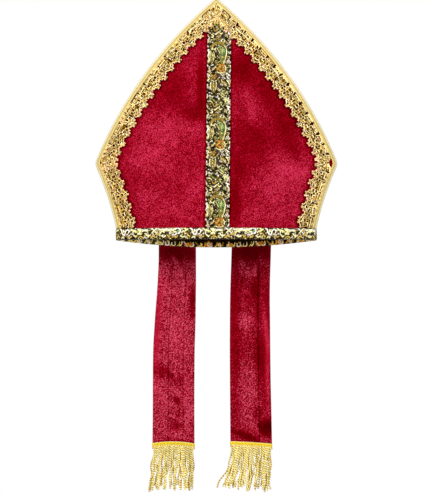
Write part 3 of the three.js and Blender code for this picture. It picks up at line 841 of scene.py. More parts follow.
def bindingShape(b):
    # a folded tape's section, front leg, roll and back leg, carried along the outline
    points, inward = outline(b["startHeight"], b["stations"])
    leg = np.array(bindingLeg)
    bend = np.linspace(np.pi / 2, -np.pi / 2, b["rollSteps"])[1:-1]
    roll = np.stack([b["roll"] - b["roll"] * np.cos(bend), b["roll"] * np.sin(bend)], -1)
    section = rounded(np.concatenate([leg, roll, leg[::-1] * (1, -1)]), b["around"])
    deep, lift = b["channel"]
    channel = evenly([(b["width"], lift), (deep, lift), (deep, -lift), (b["width"], -lift)], b["around"])
    run = runAlong(points)
    pucker = b["pucker"] * sum(np.sin(run / wave + phase) for wave, phase in b["puckerWaves"]) / 3
    proud = np.clip(section[:, 1] / b["roll"], -1, 1) * smooth(section[:, 0], b["width"], 4.0)
    faces = []
    for path, rise in ((section, proud), (channel, 0 * proud)):
        foot = points[:, None] + path[:, 0, None] * inward[:, None]
        faces.append(onFront(foot[..., 0], foot[..., 1], path[:, 1] + pucker[:, None] * rise))
    share = np.linspace(0, 1, b["around"])
    uv = np.stack(np.broadcast_arrays(share, run[:, None]), -1)
    return slab(*faces), bothFaces(uv)


bindingMesh, bindingUv = bindingShape(binding)
bindingSatin = bindingMaterial()
addPiece("bindingFront", bindingMesh, bindingSatin, "front_binding", bindingUv)
addPiece("bindingBack", turned(bindingMesh), bindingSatin, "back_binding", bindingUv)

# Brocade ribbon: the chart of one repeat, then the upright ribbon and the two rim bands

brocade = {
    "width": 33.2,
    "repeat": 111.0,
    "firstCap": 278.4,
    "cell": 0.25,
    "relief": 0.34,
    "border": 0.5,
    "mottle": 1.0,
    "mottleCell": 1.5,
    "span": (-15.5, 15.5),
    "dashes": 260,
    "dashLength": (0.6, 2.0),
    "dashWidth": (0.35, 0.7),
    "flecks": 330,
    "fleckLength": (0.4, 1.3),
    "fleckWidth": (0.38, 0.62),
    "loops": 38,
    "threads": (0.80, 0.55),
    "threadPitch": (1.7, 2.8),
}
stitchDyes = {  # by turns
    "dashes": ("olive", "gold", "leaf", "cream", "olive", "white"),
    "flecks": ("white", "dark", "cream", "dark", "pale", "dark"),
    "loops": ("white", "peach", "dark", "cream", "dark"),
}
dyes = {
    "ground": (0.034, 0.027, 0.007),
    "dusk": (0.085, 0.073, 0.068),
    "dark": (0.012, 0.009, 0.001),
    "moss": (0.045, 0.045, 0.010),
    "cream": (0.92, 0.82, 0.44),
    "white": (0.98, 0.94, 0.80),
    "gold": (0.52, 0.38, 0.11),
    "olive": (0.33, 0.27, 0.075),
    "green": (0.20, 0.36, 0.13),
    "leaf": (0.30, 0.33, 0.10),
    "pale": (0.70, 0.70, 0.32),
    "orange": (0.54, 0.27, 0.06),
    "peach": (0.92, 0.66, 0.46),
}
# motif, across and down of its middle, half length, half width, turn from across to down, dye, outlined
motifs = readRows("""
    disc 12 9 8 3.6 90 dusk 0; disc 0 47 4 3 0 dusk 0; disc 1 63 6 2.6 70 dusk 0
    disc -1 99 8 5 20 dusk 0; disc -10.5 34 4.5 2.6 20 moss 0; disc 13 24 7 3 90 moss 0
    disc 8.5 70 5 2.6 50 moss 0; drop 4.4 16 16 7.4 84 leaf 1; drop 4.8 11.5 9 5.6 86 green 1
    disc -2.8 13 5.6 2.3 76 dusk 0; leaf 4.8 25.5 4.4 1.8 78 leaf 1; disc 4.2 21 1.3 0.9 60 pale 0
    disc 6.8 20.5 1.1 0.8 60 olive 0; leaf -10.8 20.5 9.2 4 80 pale 1; disc -8.8 32.4 1.3 1.1 0 white 1
    line 13.2 2.8 1.6 0.65 -28 white 1; line 14.6 15 2.2 0.7 50 white 1
    line 12.6 20.5 1.5 0.5 -40 cream 1; line 14.9 23 1.4 0.7 -20 white 1
    line 12.2 27.8 1.7 0.75 80 white 1; line 14.8 30 1.8 0.65 70 white 1
    line 12.8 35 1.8 0.5 -45 cream 1; line 15 8.5 1.3 0.5 70 cream 1
    flower 3.4 37.4 7.4 7.4 20 orange 1; flower 3.4 37.4 4.2 4.2 52 gold 0; disc 3.4 37.4 1 1 0 olive 0
    disc -13 40.8 2.4 1.7 70 peach 1; disc -13.4 37 1.2 0.8 0 white 1
    flower -5.6 49.4 2.8 2.8 0 orange 0; leaf 7.2 51.2 3.2 1.3 32 peach 1
    leaf -0.8 54.6 2.8 1.3 48 gold 1; leaf 2.6 48 2.2 1 -30 olive 1; leaf -7.4 63.2 10.2 4.4 86 olive 1
    leaf 7.8 60.2 6 3 36 gold 1; ring 14.2 66.4 1.5 0.55 0 white 1; leaf 8 68.6 4 1.7 40 dark 0
    leaf 4.8 74.6 6.2 2.4 42 leaf 1; line 12.4 73.6 1.5 0.75 80 white 1; disc -12.2 78 1.5 1.4 0 white 1
    disc -1.6 77.4 2.6 2.2 0 dark 0; disc 0.6 82 1.5 1.3 0 white 1; line 15 79 1.2 0.6 90 white 1
    leaf -8.4 79 2.6 1.1 20 olive 1; leaf 11.4 85.4 5.8 3 80 pale 1; disc 11.4 85.8 0.9 0.6 60 dark 0
    ring 3.8 88.4 1.5 0.5 0 pale 1; disc -14 97.6 2.4 1.2 90 white 1; disc 14.2 105 3 1.5 90 peach 1
    line 9.6 100 1.8 0.6 62 white 1; ring 5.3 108 2.1 0.85 0 cream 1; disc -13.6 108 3.4 1.8 80 pale 1
    leaf 9.6 109.6 2.4 1 -30 olive 1
""")


def readStrokes(text):
    # half width and dye, then points across and down
    return [(tuple(zip(row[2::2], row[3::2])), row[0], row[1]) for row in readRows(text)]


strokes = readStrokes("""
    1.9 olive -10 6 -8 2.4 -3.6 0.4 1.2 0.2 5 1.6 7.8 4.4; 0.45 gold -7 2.6 -2 0.9 2.6 1.1
    0.6 cream 7.4 4 9.9 8 10.8 13 10.2 18.5 8.8 24 6.8 30
    0.5 cream -10 6.2 -9.6 8.6 -7.6 9.8 -5.4 8.8 -4.2 7; 0.4 pale -2.6 8.2 -0.8 11.4 1.4 15.6
    0.4 pale 5.2 6.5 5.5 11 5 16; 0.35 pale 3.2 8.5 4.2 12 4 17; 0.6 olive -0.5 17 2 21 2.2 26 3.6 31
    0.45 olive -10.8 13 -10.4 20 -9.6 27; 0.8 white -14.8 10 -14.2 14 -14.8 18
    0.65 cream -14.6 21 -14 25 -14.4 28.5; 0.45 cream -7 15 -6.6 20 -8 26
    0.5 cream 8.2 33.6 10 36.8 9.6 40.2; 0.5 cream -2.2 43 1.6 44.6 6 44 9 42.4
    0.5 gold -12 45 -8.5 48.8 -5 52.4; 0.5 gold -4 45.4 -7.4 49.4 -11 53.4; 0.55 cream -14.6 46 -12.6 49
    0.55 cream -14.8 50.5 -13 53.6; 0.6 white 11 44.6 13.4 46.6 15.4 48
    0.55 white 11.4 49.6 13.6 52 15.4 53.4; 0.4 cream -7.6 56 -7.4 63 -7 70; 0.3 gold -9.6 60 -7.6 62
    0.3 gold -5.4 60 -7.2 62; 0.3 gold -9.6 64.4 -7.4 66.4; 0.3 gold -5.2 64.4 -7 66.4
    0.5 cream -11.4 58 -11.8 63 -10.4 69; 0.45 cream -3.6 58.4 -3 63 -4.4 69
    0.4 cream 4.4 58 8 60.4 11 62.8; 0.65 cream 11.6 55.4 14 58.6 15.4 62
    0.45 olive 5.6 66 8.4 67.6 11 70.4; 0.35 pale 1.2 71.6 4.8 74.4 8.4 77.8
    0.45 cream 0.2 74 3.2 77.2 6.8 79.6; 0.6 leaf -12 80.6 -8.6 82.4 -5.6 85.6 -2.6 86
    0.5 cream -12.4 85 -9.6 86.6 -7.6 89.4; 0.55 white 13.8 80.6 14.4 85 13.4 89.6
    0.6 gold -7.6 89.6 -7.2 92.4 -5 93.6 -2.8 92.2 -3 89.8; 0.5 leaf 0.4 86.8 2.2 90.8 5.4 92.2
    0.6 cream -5 98.6 -1 94.6 2.6 98 5 96; 0.5 gold -4.6 102.6 -0.6 99.4 2.2 102
    0.75 white 11.4 92.6 14 93.4 13.2 96.4 15 98.4; 0.6 cream -10.6 98.6 -8.2 100.4 -9 103 -11.4 102.4
    0.5 olive 7 95 9 97; 0.5 gold -6 106 -3 104.4 -0.6 106; 0.5 cream -9 40 -6 37.4 -4.4 33.6
    0.45 olive -5.6 28 -3.4 31.6 -4 35; 0.5 cream -1.4 68 0.6 70; 0.45 cream 9 79.6 7.6 83.4
""")


def motifDepth(kind, along, across, length, width):
    # how deep a point lies inside a motif, in millimetres, negative outside
    reach = np.hypot(along, across)
    if kind == "leaf":  # pointed at both ends: width (1 - (along/length)^2)
        return width * (1 - (along / length) ** 2) - np.abs(across)
    if kind == "drop":  # round head, long tail: width sqrt(t) (1 - t), scaled to its widest
        t = np.clip((along + length) / (2 * length), 0, 1)
        return width / 0.385 * np.sqrt(t) * (1 - t) - np.abs(across) - np.maximum(0, np.abs(along) - length)
    if kind == "disc":
        return (1 - np.hypot(along / length, across / width)) * width
    if kind == "ring":
        return width - np.abs(reach - length)
    if kind == "flower":  # five petals: length (0.84 + 0.16 cos 5a)
        return length * (0.84 + 0.16 * np.cos(5 * np.arctan2(across, along))) - reach
    return width - np.hypot(np.maximum(np.abs(along) - length, 0), across)


def strokeDepth(dx, dy, points, width):
    # width less the distance to the nearest of the stroke's straight parts
    nearest = np.full(np.broadcast(dx, dy).shape, 1e3)
    for (ax, ay), (bx, by) in zip(points[:-1], points[1:]):
        wide, tall = bx - ax, by - ay
        t = np.clip(((dx - ax) * wide + (dy - ay) * tall) / (wide ** 2 + tall ** 2), 0, 1)
        nearest = np.minimum(nearest, np.hypot(dx - ax - t * wide, dy - ay - t * tall))
    return width - nearest


def brocadeChart(b, motifRows, strokeRows):
    # motifs and strokes painted one over the other on a fine grid of one repeat: dye and thread height
    across = np.arange(-b["width"] / 2, b["width"] / 2 + 0.01, b["cell"])[None]
    down = np.arange(0, b["repeat"], b["cell"])[:, None]
    dye = np.ones((down.size, across.size, 1)) * dyes["ground"]
    rise = np.zeros((down.size, across.size))

    def paint(depth, name, outlined, threads):
        nonlocal dye, rise
        if outlined:
            cover = smooth(depth, -b["border"] - 0.15, -b["border"] + 0.15)
            dye = dye * (1 - cover[..., None]) + np.array(dyes["dark"]) * cover[..., None]
            rise = rise * (1 - cover)
        cover = smooth(depth, -0.15, 0.15)
        dye = dye * (1 - cover[..., None]) + np.array(dyes[name]) * (cover * threads)[..., None]
        raised = 0 if name in ("dusk", "moss", "dark") else 1
        rise = rise * (1 - cover) + cover * raised * smooth(depth, -0.2, 0.7)

    def wrapped(middle):
        return (down - middle + b["repeat"] / 2) % b["repeat"] - b["repeat"] / 2

    def scattered(kind, length, width, odd):
        # short stitches at seeded places, every second one outlined
        names = stitchDyes[kind]
        return [("line", rng.uniform(*b["span"]), rng.uniform(0, b["repeat"]), rng.uniform(*length),
                 rng.uniform(*width), rng.uniform(0, 180), names[k % len(names)], (k + odd) % 2)
                for k in range(b[kind])]

    rows = scattered("dashes", b["dashLength"], b["dashWidth"], 0) + motifRows
    rows += scattered("flecks", b["fleckLength"], b["fleckWidth"], 1)
    for step in range(b["loops"]):  # pale loops down both edges, of uneven size
        for side in (-1, 1):
            rows.append(("line", side * rng.uniform(15.0, 16.6),
                         (step + rng.uniform(0, 0.8)) * b["repeat"] / b["loops"], rng.uniform(0.7, 2.4),
                         rng.uniform(0.6, 1.1), 90 + rng.uniform(-40, 40),
                         stitchDyes["loops"][(step + side) % 5], 1))
    for kind, atAcross, atDown, length, width, turn, name, outlined in rows:
        c, s = math.cos(math.radians(turn)), math.sin(math.radians(turn))
        dx, dy = across - atAcross, wrapped(atDown)
        along, aside = dx * c + dy * s, dy * c - dx * s
        stripes = np.sin(2 * np.pi * (along + 0.8 * np.abs(aside)) / rng.uniform(*b["threadPitch"]))
        threads = b["threads"][0] + b["threads"][1] * stripes
        paint(motifDepth(kind, along, aside, length, width), name, outlined, threads)
    for points, width, name in strokeRows:
        firstX, firstY = points[0]
        local = [(px - firstX, py - firstY) for px, py in points]
        paint(strokeDepth(across - firstX, wrapped(firstY), local, width), name, 1, 1.0)
    cells = rng.uniform(0, 1, (int(b["repeat"] / b["mottleCell"]), int(b["width"] / b["mottleCell"])))
    tall, wide = cells.shape
    cells = np.concatenate([cells, cells[:1]])
    column = across[0] / b["width"] * wide + wide / 2
    line = down[:, 0] / b["repeat"] * tall
    part = np.stack([np.interp(column, np.arange(wide), row) for row in cells])
    noise = np.stack([np.interp(line, np.arange(tall + 1), col) for col in part.T], 1)
    return dye * (1 - b["mottle"] / 2 + b["mottle"] * noise)[..., None], rise


def chartAt(chart, across, down):
    # the chart read between its cells, wrapping along the repeat
    rows, cols = chart[1].shape
    r = (down / brocade["cell"]) % rows
    c = np.clip((across + brocade["width"] / 2) / brocade["cell"], 0, cols - 1.001)
    r0, c0 = np.floor(r).astype(int) % rows, np.floor(c).astype(int)
    r1, c1 = (r0 + 1) % rows, c0 + 1
    fr, fc = r - np.floor(r), c - c0
    read = []
    for values in chart:  # dye, then rise
        a, b = (part.reshape(part.shape + (1,) * (values.ndim - 2)) for part in (fr, fc))
        read.append((values[r0, c0] * (1 - b) + values[r0, c1] * b) * (1 - a)
                    + (values[r1, c0] * (1 - b) + values[r1, c1] * b) * a)
    return read


uprightChart = brocadeChart(brocade, motifs, strokes)
print("brocade chart:", uprightChart[1].shape)


def brocadeMaterial():
    # the chart's dye under a fine slanted weave
    material, tree, shader = newMaterial("brocadeWeave", Roughness=0.5, Specular_IOR_Level=0.02)
    dye = attributeNode(tree, "dye").outputs["Color"]
    weave = useGroup(tree, weaveGrid, Threads=95.0, Slant=0.6)
    dyeThreads(tree, shader, dye, weave, (0.15, 0.62, 0.60, 0.56), (0.85, 1.12, 1.12, 1.10), (0.4, 0.0003))
    return material


brocadeWeave = brocadeMaterial()


def uprightShape(u):
    # columns from the rim band up to the inset outline; the raised threads of the chart stand proud
    points, inward = outline(u["foot"], u["edgeSteps"])
    top = (points + u["topInset"] * inward)[u["edgeSteps"] - 1:]
    across = np.linspace(-u["half"], u["half"], u["cols"])[None]
    share = np.linspace(0, 1, u["rows"])[:, None]
    ceiling = np.interp(np.abs(u["lean"][1] + across), top[:, 0], top[:, 1])
    z = u["foot"] + (ceiling - u["foot"]) * share
    x = u["lean"][0] + (u["lean"][1] - u["lean"][0]) * share + across
    dye, rise = chartAt(uprightChart, across + 0 * z, brocade["firstCap"] - cutHeight(x, z))
    dye = np.minimum(u["gain"] * np.clip(dye, 0, 1) ** u["contrast"] * u["tint"], 1)
    lift = form["trimFoot"] + u["thickness"] - u["sunk"] + brocade["relief"] * rise
    uv = np.stack([x, z], -1) / 100
    return slab(onFront(x, z, lift), onFront(x, z, form["trimFoot"])), bothFaces(uv), bothFaces(dye)


uprightMesh, uprightUv, uprightDye = uprightShape(upright)
addPiece("ribbonUpright", uprightMesh, brocadeWeave, "front_ribbon", uprightUv, uprightDye)

band = {
    "stations": 420,
    "around": 40,
    "half": 141.2,
    "puff": 4.8,
    "pressed": 2.8,  # the puff at the ends
    "pressRun": 14.0,
    "clear": 0.15,  # of the seams' plane, measured at the ribbon's middle
    "middle": 8.0,
    "gain": 1.85,
    "tint": (1.08, 1.0, 1.0),
    "contrast": 1.24,
    # contrast power and brown tint of the inside: painted shade
    "inside": 1.75,
    "brown": (1, 0.78, 0.55),
    "lessBrown": (0, 0.17, 0.25),
    "wander": ((1.1, 4.1, 0), (0.8, 1.9, 1)),  # of the painted shade line along the fold: reach, wave, phase
    "flatter": 0.7,
    "endRun": 4.0,
    "endShade": 0.6,
}
bandWeave = {
    **brocade,
    "repeat": 105.0,
    "dashes": 120,
    "flecks": 160,
    "loops": 0,
    "mottle": 0.8,
    "span": (-15.8, -0.5),
    "fleckLength": (0.5, 1.7),
    "fleckWidth": (0.5, 0.75),
    "threads": (0.84, 0.42),
}
# the ribbon lies along the rim: across from the sewn top edge (-16.6) over the fold (0) to the inside,
# then along
bandMotifs = readRows("""
    leaf -12.4 0 8 2.4 90 pale 1; leaf -12.2 -1 4 0.8 86 green 0; disc -14.4 9 2 1.1 50 white 1
    leaf -12.8 37 9 2.4 92 cream 1; leaf -12.6 36 6 0.9 92 pale 0; disc -11.4 48.8 1.5 1.5 0 green 1
    disc -9.5 31 3.4 1.6 80 dusk 0; leaf -11.6 89 6 1.8 76 pale 1; disc -9 84.5 1.6 1.2 0 cream 1
    leaf -13.6 58 4.6 1.5 84 cream 1; leaf -8.4 59.5 3.6 1.4 70 gold 1; leaf -7.6 20 5 1.7 96 gold 1
    disc -14 97 2.2 1.2 70 white 1; leaf -8.6 97 4.2 1.3 104 cream 1; flower 5.4 56 5.4 5.4 10 orange 1
    flower 5.4 56 2.6 2.6 40 gold 0; leaf 4.6 24 7 2.6 84 gold 1; leaf 5.2 86 7 2.6 98 orange 1
    disc 4.4 40 1.6 1.2 0 cream 1; disc 3.6 70 1.5 1.1 0 cream 1
""")
bandStrokes = readStrokes("""
    1.5 pale -13 -9 -12.2 -4 -12.6 4; 0.7 white -13.4 -5 -12.6 0 -13 3; 1.5 pale -13 26 -12.4 33 -13 42
    0.7 white -13.8 30 -13 35 -13.4 40; 1 pale -12 59 -13.4 62; 1.1 pale -12.6 86 -11.6 91
    0.42 cream -16.3 0 -16.3 52 -16.3 104; 0.6 white -15.2 10 -12 14 -8.6 17.5
    0.6 cream -8.8 10.5 -12 14 -15.4 18.5; 0.5 white -14.8 20 -12.6 23 -14.4 26
    0.6 cream -9.4 23 -11.4 26 -9.6 29
    0.62 white -14.4 44.8 -15.2 48.6 -12.4 52 -8.8 51 -8 47.4 -10.4 45.6
    0.5 white -8.2 47 -6 43.6 -6.6 40; 0.55 cream -9 54 -11.6 55.4 -10.4 58
    0.62 white -14.8 65.4 -13.2 68.6 -10.4 68.2 -7.8 70.4 -6.4 74
    0.6 white -8.2 74 -11.2 74.8 -13.8 77.6 -12.2 81 -9.4 80; 0.6 cream -14.6 83 -12.8 86
    0.6 cream -10.6 101 -13 103; 0.6 cream -7 2 -5 5 -6 8; 0.55 gold -4 9 -5.4 12 -3.6 15.4
    0.6 cream -5.2 25 -3.6 28 -5.4 31; 0.6 gold -6.4 33 -4 36; 0.55 gold -3.4 40 -5 43.6 -3.2 47
    0.6 cream -5.4 52 -3.4 55 -4.8 58.4; 0.6 gold -6.4 62 -4.2 65; 0.55 cream -3 68 -4.8 72
    0.6 gold -5.4 78 -3.2 81 -4.8 84.6; 0.6 cream -6.6 88 -4.2 91; 0.55 gold -3.2 95 -5 98 -3.8 101.6
""")
# inside the rim: curls, slanted stems and hooks by turns, at uneven distances
insideRuns = (
    ((7.6, 0.6), (4.2, 0.2), (2.4, 2.4), (3.4, 5.2), (6.6, 5.4)), ((2.2, 0.4), (4.8, 2.2), (8.4, 5.6)),
    ((8.2, 0.4), (5.0, 1.0), (3.0, 3.6)), ((2.0, 1.2), (5.2, 0.2), (7.6, 2.2), (6.4, 4.6), (4.2, 3.6)),
)
insideDyes = ("cream", "gold", "white", "cream", "gold", "cream", "olive")
for k in range(19):
    shift = 5.5 * k + 1.6 * math.sin(2.3 * k)
    points = tuple((across, shift + along) for across, along in insideRuns[(k * k + k // 3) % 4])
    bandStrokes.append((points, 0.5 + 0.12 * (k % 3), insideDyes[k % 7]))
for k in range(25):  # short slanted stitches under the fold
    turn = 40 + 25 * (k % 3)
    bandMotifs.append(("line", -0.4 + 0.9 * (k % 2), 4.2 * k + 1.5, 1.3, 0.45, turn, "white", 1))
bandChart = brocadeChart(bandWeave, bandMotifs, bandStrokes)
bandSides = {
    "front": {
        "start": -101.7,
        "paler": (900, 901),  # past the ribbon's end, so nowhere
        # across, share of the dye: painted shade along the front's fold, and the inside painted lighter
        # where little light falls
        "light": ((-16.6, 1.0), (-9, 0.95), (-4, 0.9), (-2.4, 0.7), (-1, 0.4), (2.5, 0.2),
                  (5, 1.2), (16.6, 1.2)),
    },
    "back": {
        "start": -45.0,
        "paler": (45, 85),
        "light": ((-16.6, 1.0), (-9, 0.95), (-4, 0.85), (-1, 0.9), (3, 2.0), (16.6, 2.0)),
    },
}
bandOuter = (  # lift, height: sewn edge, puffed front, fold under the rim, inner side
    (2.0, 16.0), (2.7, 16.0), (4.2, 12.5), (4.8, 8.0), (4.2, 3.5), (2.2, 0.4), (0.0, 0.0), (-2.2, 0.4),
    (-3.1, 3.0), (-3.1, 9.0), (-3.1, 14.5), (-2.15, 14.5),
)
bandInner = ((1.95, 15.9), (1.95, 1.5), (-2.05, 1.5), (-2.05, 14.4))


def bandShape(b, side):
    # a ribbon folded round the rim: the section is carried along x, with the puff pressed flat at the ends
    outer = rounded(bandOuter, b["around"])
    inner = evenly(bandInner, b["around"])
    x = np.linspace(-b["half"], b["half"], b["stations"])[:, None]
    deepest = (bowDepth(x, 0 * x) - b["clear"]) / -bowNormal(x, b["middle"] + 0 * x)[..., 1]
    squeeze = smooth(np.abs(x), b["half"] - b["pressRun"], b["half"])
    limit = b["puff"] + (b["pressed"] - b["puff"]) * squeeze
    run = x + (2 * form["bowRim"] / form["rimHalf"] ** 2) ** 2 * x ** 3 / 6
    across = np.linspace(-brocade["width"] / 2, brocade["width"] / 2, b["around"])[None]
    dye, rise = chartAt(bandChart, across + 0 * x, run - side["start"] + 0 * across)
    uneven = across
    for reach, wave, phase in b["wander"]:
        uneven = uneven + reach * np.sin(run / wave + phase)
    # painted shade and light by across: darker along the front's fold under the rim, lighter on the inside
    under = np.interp(uneven, *zip(*side["light"]))[..., None]
    pale = smooth(run, *side["paler"])[..., None]  # the inside's painted shade, brown and dark, fades towards one end
    # the inside is painted as in shade: more contrast and a brown tint
    inside = across[..., None] > -1
    power = np.where(inside, b["inside"] + (b["contrast"] - b["inside"]) * pale, b["contrast"])
    browned = np.where(inside, np.array(b["brown"]) + np.array(b["lessBrown"]) * pale, 1)
    # painted shade over both pressed ends
    ends = 1 - b["endShade"] * smooth(np.abs(x), b["half"] - b["endRun"], b["half"])[..., None]
    dye = np.minimum(b["gain"] * np.clip(dye, 0, 1) ** power * under * b["tint"], 1) * browned * ends
    proud = brocade["relief"] * rise * (1 - b["flatter"] * squeeze)
    sign = np.sign(np.linspace(1, -1, b["around"]))[None]
    faces = []
    for path, extra in ((outer, proud), (inner, 0 * proud)):
        flat = path[None, :, 0]
        lift = np.clip(flat + extra * sign * (np.abs(flat) > 1), -deepest, limit + extra)
        faces.append(onFront(x, path[None, :, 1], lift))
    uv = np.stack([across + 0 * x, run + 0 * across], -1) / 100
    return slab(*faces), bothFaces(uv), bothFaces(dye)


for name, side in bandSides.items():
    bandMesh, bandUv, bandDye = bandShape(band, side)
    if name == "back":
        bandMesh = turned(bandMesh)
    addPiece("ribbonRim" + name.title(), bandMesh, brocadeWeave, name + "_band", bandUv,
             bandDye)

# Gold lace along the front's edge

laceDyes = {
    "gold": (0.66, 0.44, 0.095),
    "cream": (1.0, 0.83, 0.38),
    "olive": (0.21, 0.10, 0.004),
    "white": (1.0, 0.94, 0.66),
    "brown": (0.13, 0.025, 0.001),
    "peach": (1.0, 0.58, 0.43),
    # painted shade on the strands' lower sides
    "under": (0.34, 0.09, 0.02),
}
# strands of half a repeat: u is a share of the repeat from a valley to the scallop's point, q millimetres
# in from the outer edge; start, bend, end, half width, height of the middle, dye
laceBars = readRows("""
    0.2 0.9 0.12 2.6 0.06 6.2 0.58 0.8 cream; 0.27 0.9 0.24 3.4 0.17 6.6 0.74 0.65 olive
    0.37 0.9 0.35 3.4 0.33 6.8 0.8 0.7 gold; 0.24 2.2 0.33 2.8 0.43 2.1 0.58 1.18 white
    0.16 4.6 0.22 4.2 0.3 5 0.56 1.14 white; 0.1 6.8 0.16 9.2 0.1 11.2 0.62 0.8 gold
    0.22 6.6 0.2 9 0.25 11.4 0.72 0.7 olive; 0.34 6.8 0.32 9 0.37 11.4 0.72 0.75 gold
    0.42 6.6 0.4 9 0.44 10.8 0.55 0.8 cream; 0.17 8 0.26 8.7 0.35 8.1 0.58 1.18 white
    0.11 11.4 0.16 13.4 0.1 16 0.66 0.8 gold; 0.24 11.2 0.22 13.6 0.26 16.4 0.74 0.7 olive
    0.36 11.2 0.33 13.6 0.38 16.4 0.7 0.8 gold; 0.17 12.4 0.25 13.2 0.33 12.6 0.58 1.16 cream
    0.18 14.8 0.26 14.2 0.33 15 0.56 1.14 white; 0.09 16.8 0.18 18.2 0.3 18 0.52 0.8 olive
    0.05 17.8 0.26 19.4 0.49 21.2 0.52 1 cream
""")
# strands across the middle of the valley or of the scallop
laceSpans = readRows("""
    0.1 0.7 0.5 0.7 0.9 0.7 1.25 0.8 cream; -0.15 12.6 0 13.6 0.15 14.6 0.5 0.7 gold
    0.34 14.8 0.5 13.4 0.66 12.4 0.5 0.7 cream; -0.12 6.9 0 6.2 0.12 6.9 0.6 1 cream
    0.12 6.8 0.5 6.4 0.88 6.8 0.62 0.95 gold; 0.3 4.4 0.5 4.9 0.7 4.4 0.56 1.16 cream
    0.5 0.9 0.49 3.4 0.5 6.4 0.8 0.65 olive; -0.14 11 0 10.4 0.14 11 0.72 0.9 white
    0.36 11.2 0.5 10.8 0.64 11.2 0.7 0.9 cream; -0.14 15.9 0 16.4 0.14 15.9 0.7 0.85 cream
    0.36 16.3 0.5 16.9 0.64 16.3 0.7 0.9 white; 0 16.6 0 17.6 0 18.6 1 0.75 gold
    -0.16 19 0 18.2 0.16 19 0.6 0.85 cream
""")


def laceStrands(l):
    # every strand of one repeat as a quadratic curve in u and q: bars, spans, ribs of the scallop, picots
    rows = list(laceSpans)
    for bar in laceBars:
        rows.append(bar)
        rows.append((1 - bar[0], bar[1], 1 - bar[2], bar[3], 1 - bar[4], bar[5], *bar[6:]))
    for k in range(l["ribs"]):
        at = l["ribSpan"][0] + l["ribSpan"][1] * k / (l["ribs"] - 1)
        reach = laceEdge(at, 0) - 1.2
        near = abs(at - 0.5)
        rows.append((0.5 + 0.45 * (at - 0.5), 16.4 - 2 * near, 0.5 + 0.75 * (at - 0.5), 18.4 - 3 * near,
                     at, reach, 0.66, 0.74 - 0.1 * (k % 2), ("gold", "cream", "olive")[k % 3]))
    for k in range(l["picots"]):
        at = l["picotSpan"][0] + l["picotSpan"][1] * k / (l["picots"] - 1)
        reach = laceEdge(at, 0)
        size = 1.6 - 0.6 * abs(at - 0.5)
        rows.append((at, reach - 2.4, at, reach - 1.2, at + 0.05 * (at - 0.5), reach + 0.1,
                     size, 0.9, "peach"))
    return rows


def swell(t, end):
    # end at both ends and 1 in the middle: end + (1 - end) sin(pi t)
    return end + (1 - end) * np.sin(np.pi * t)


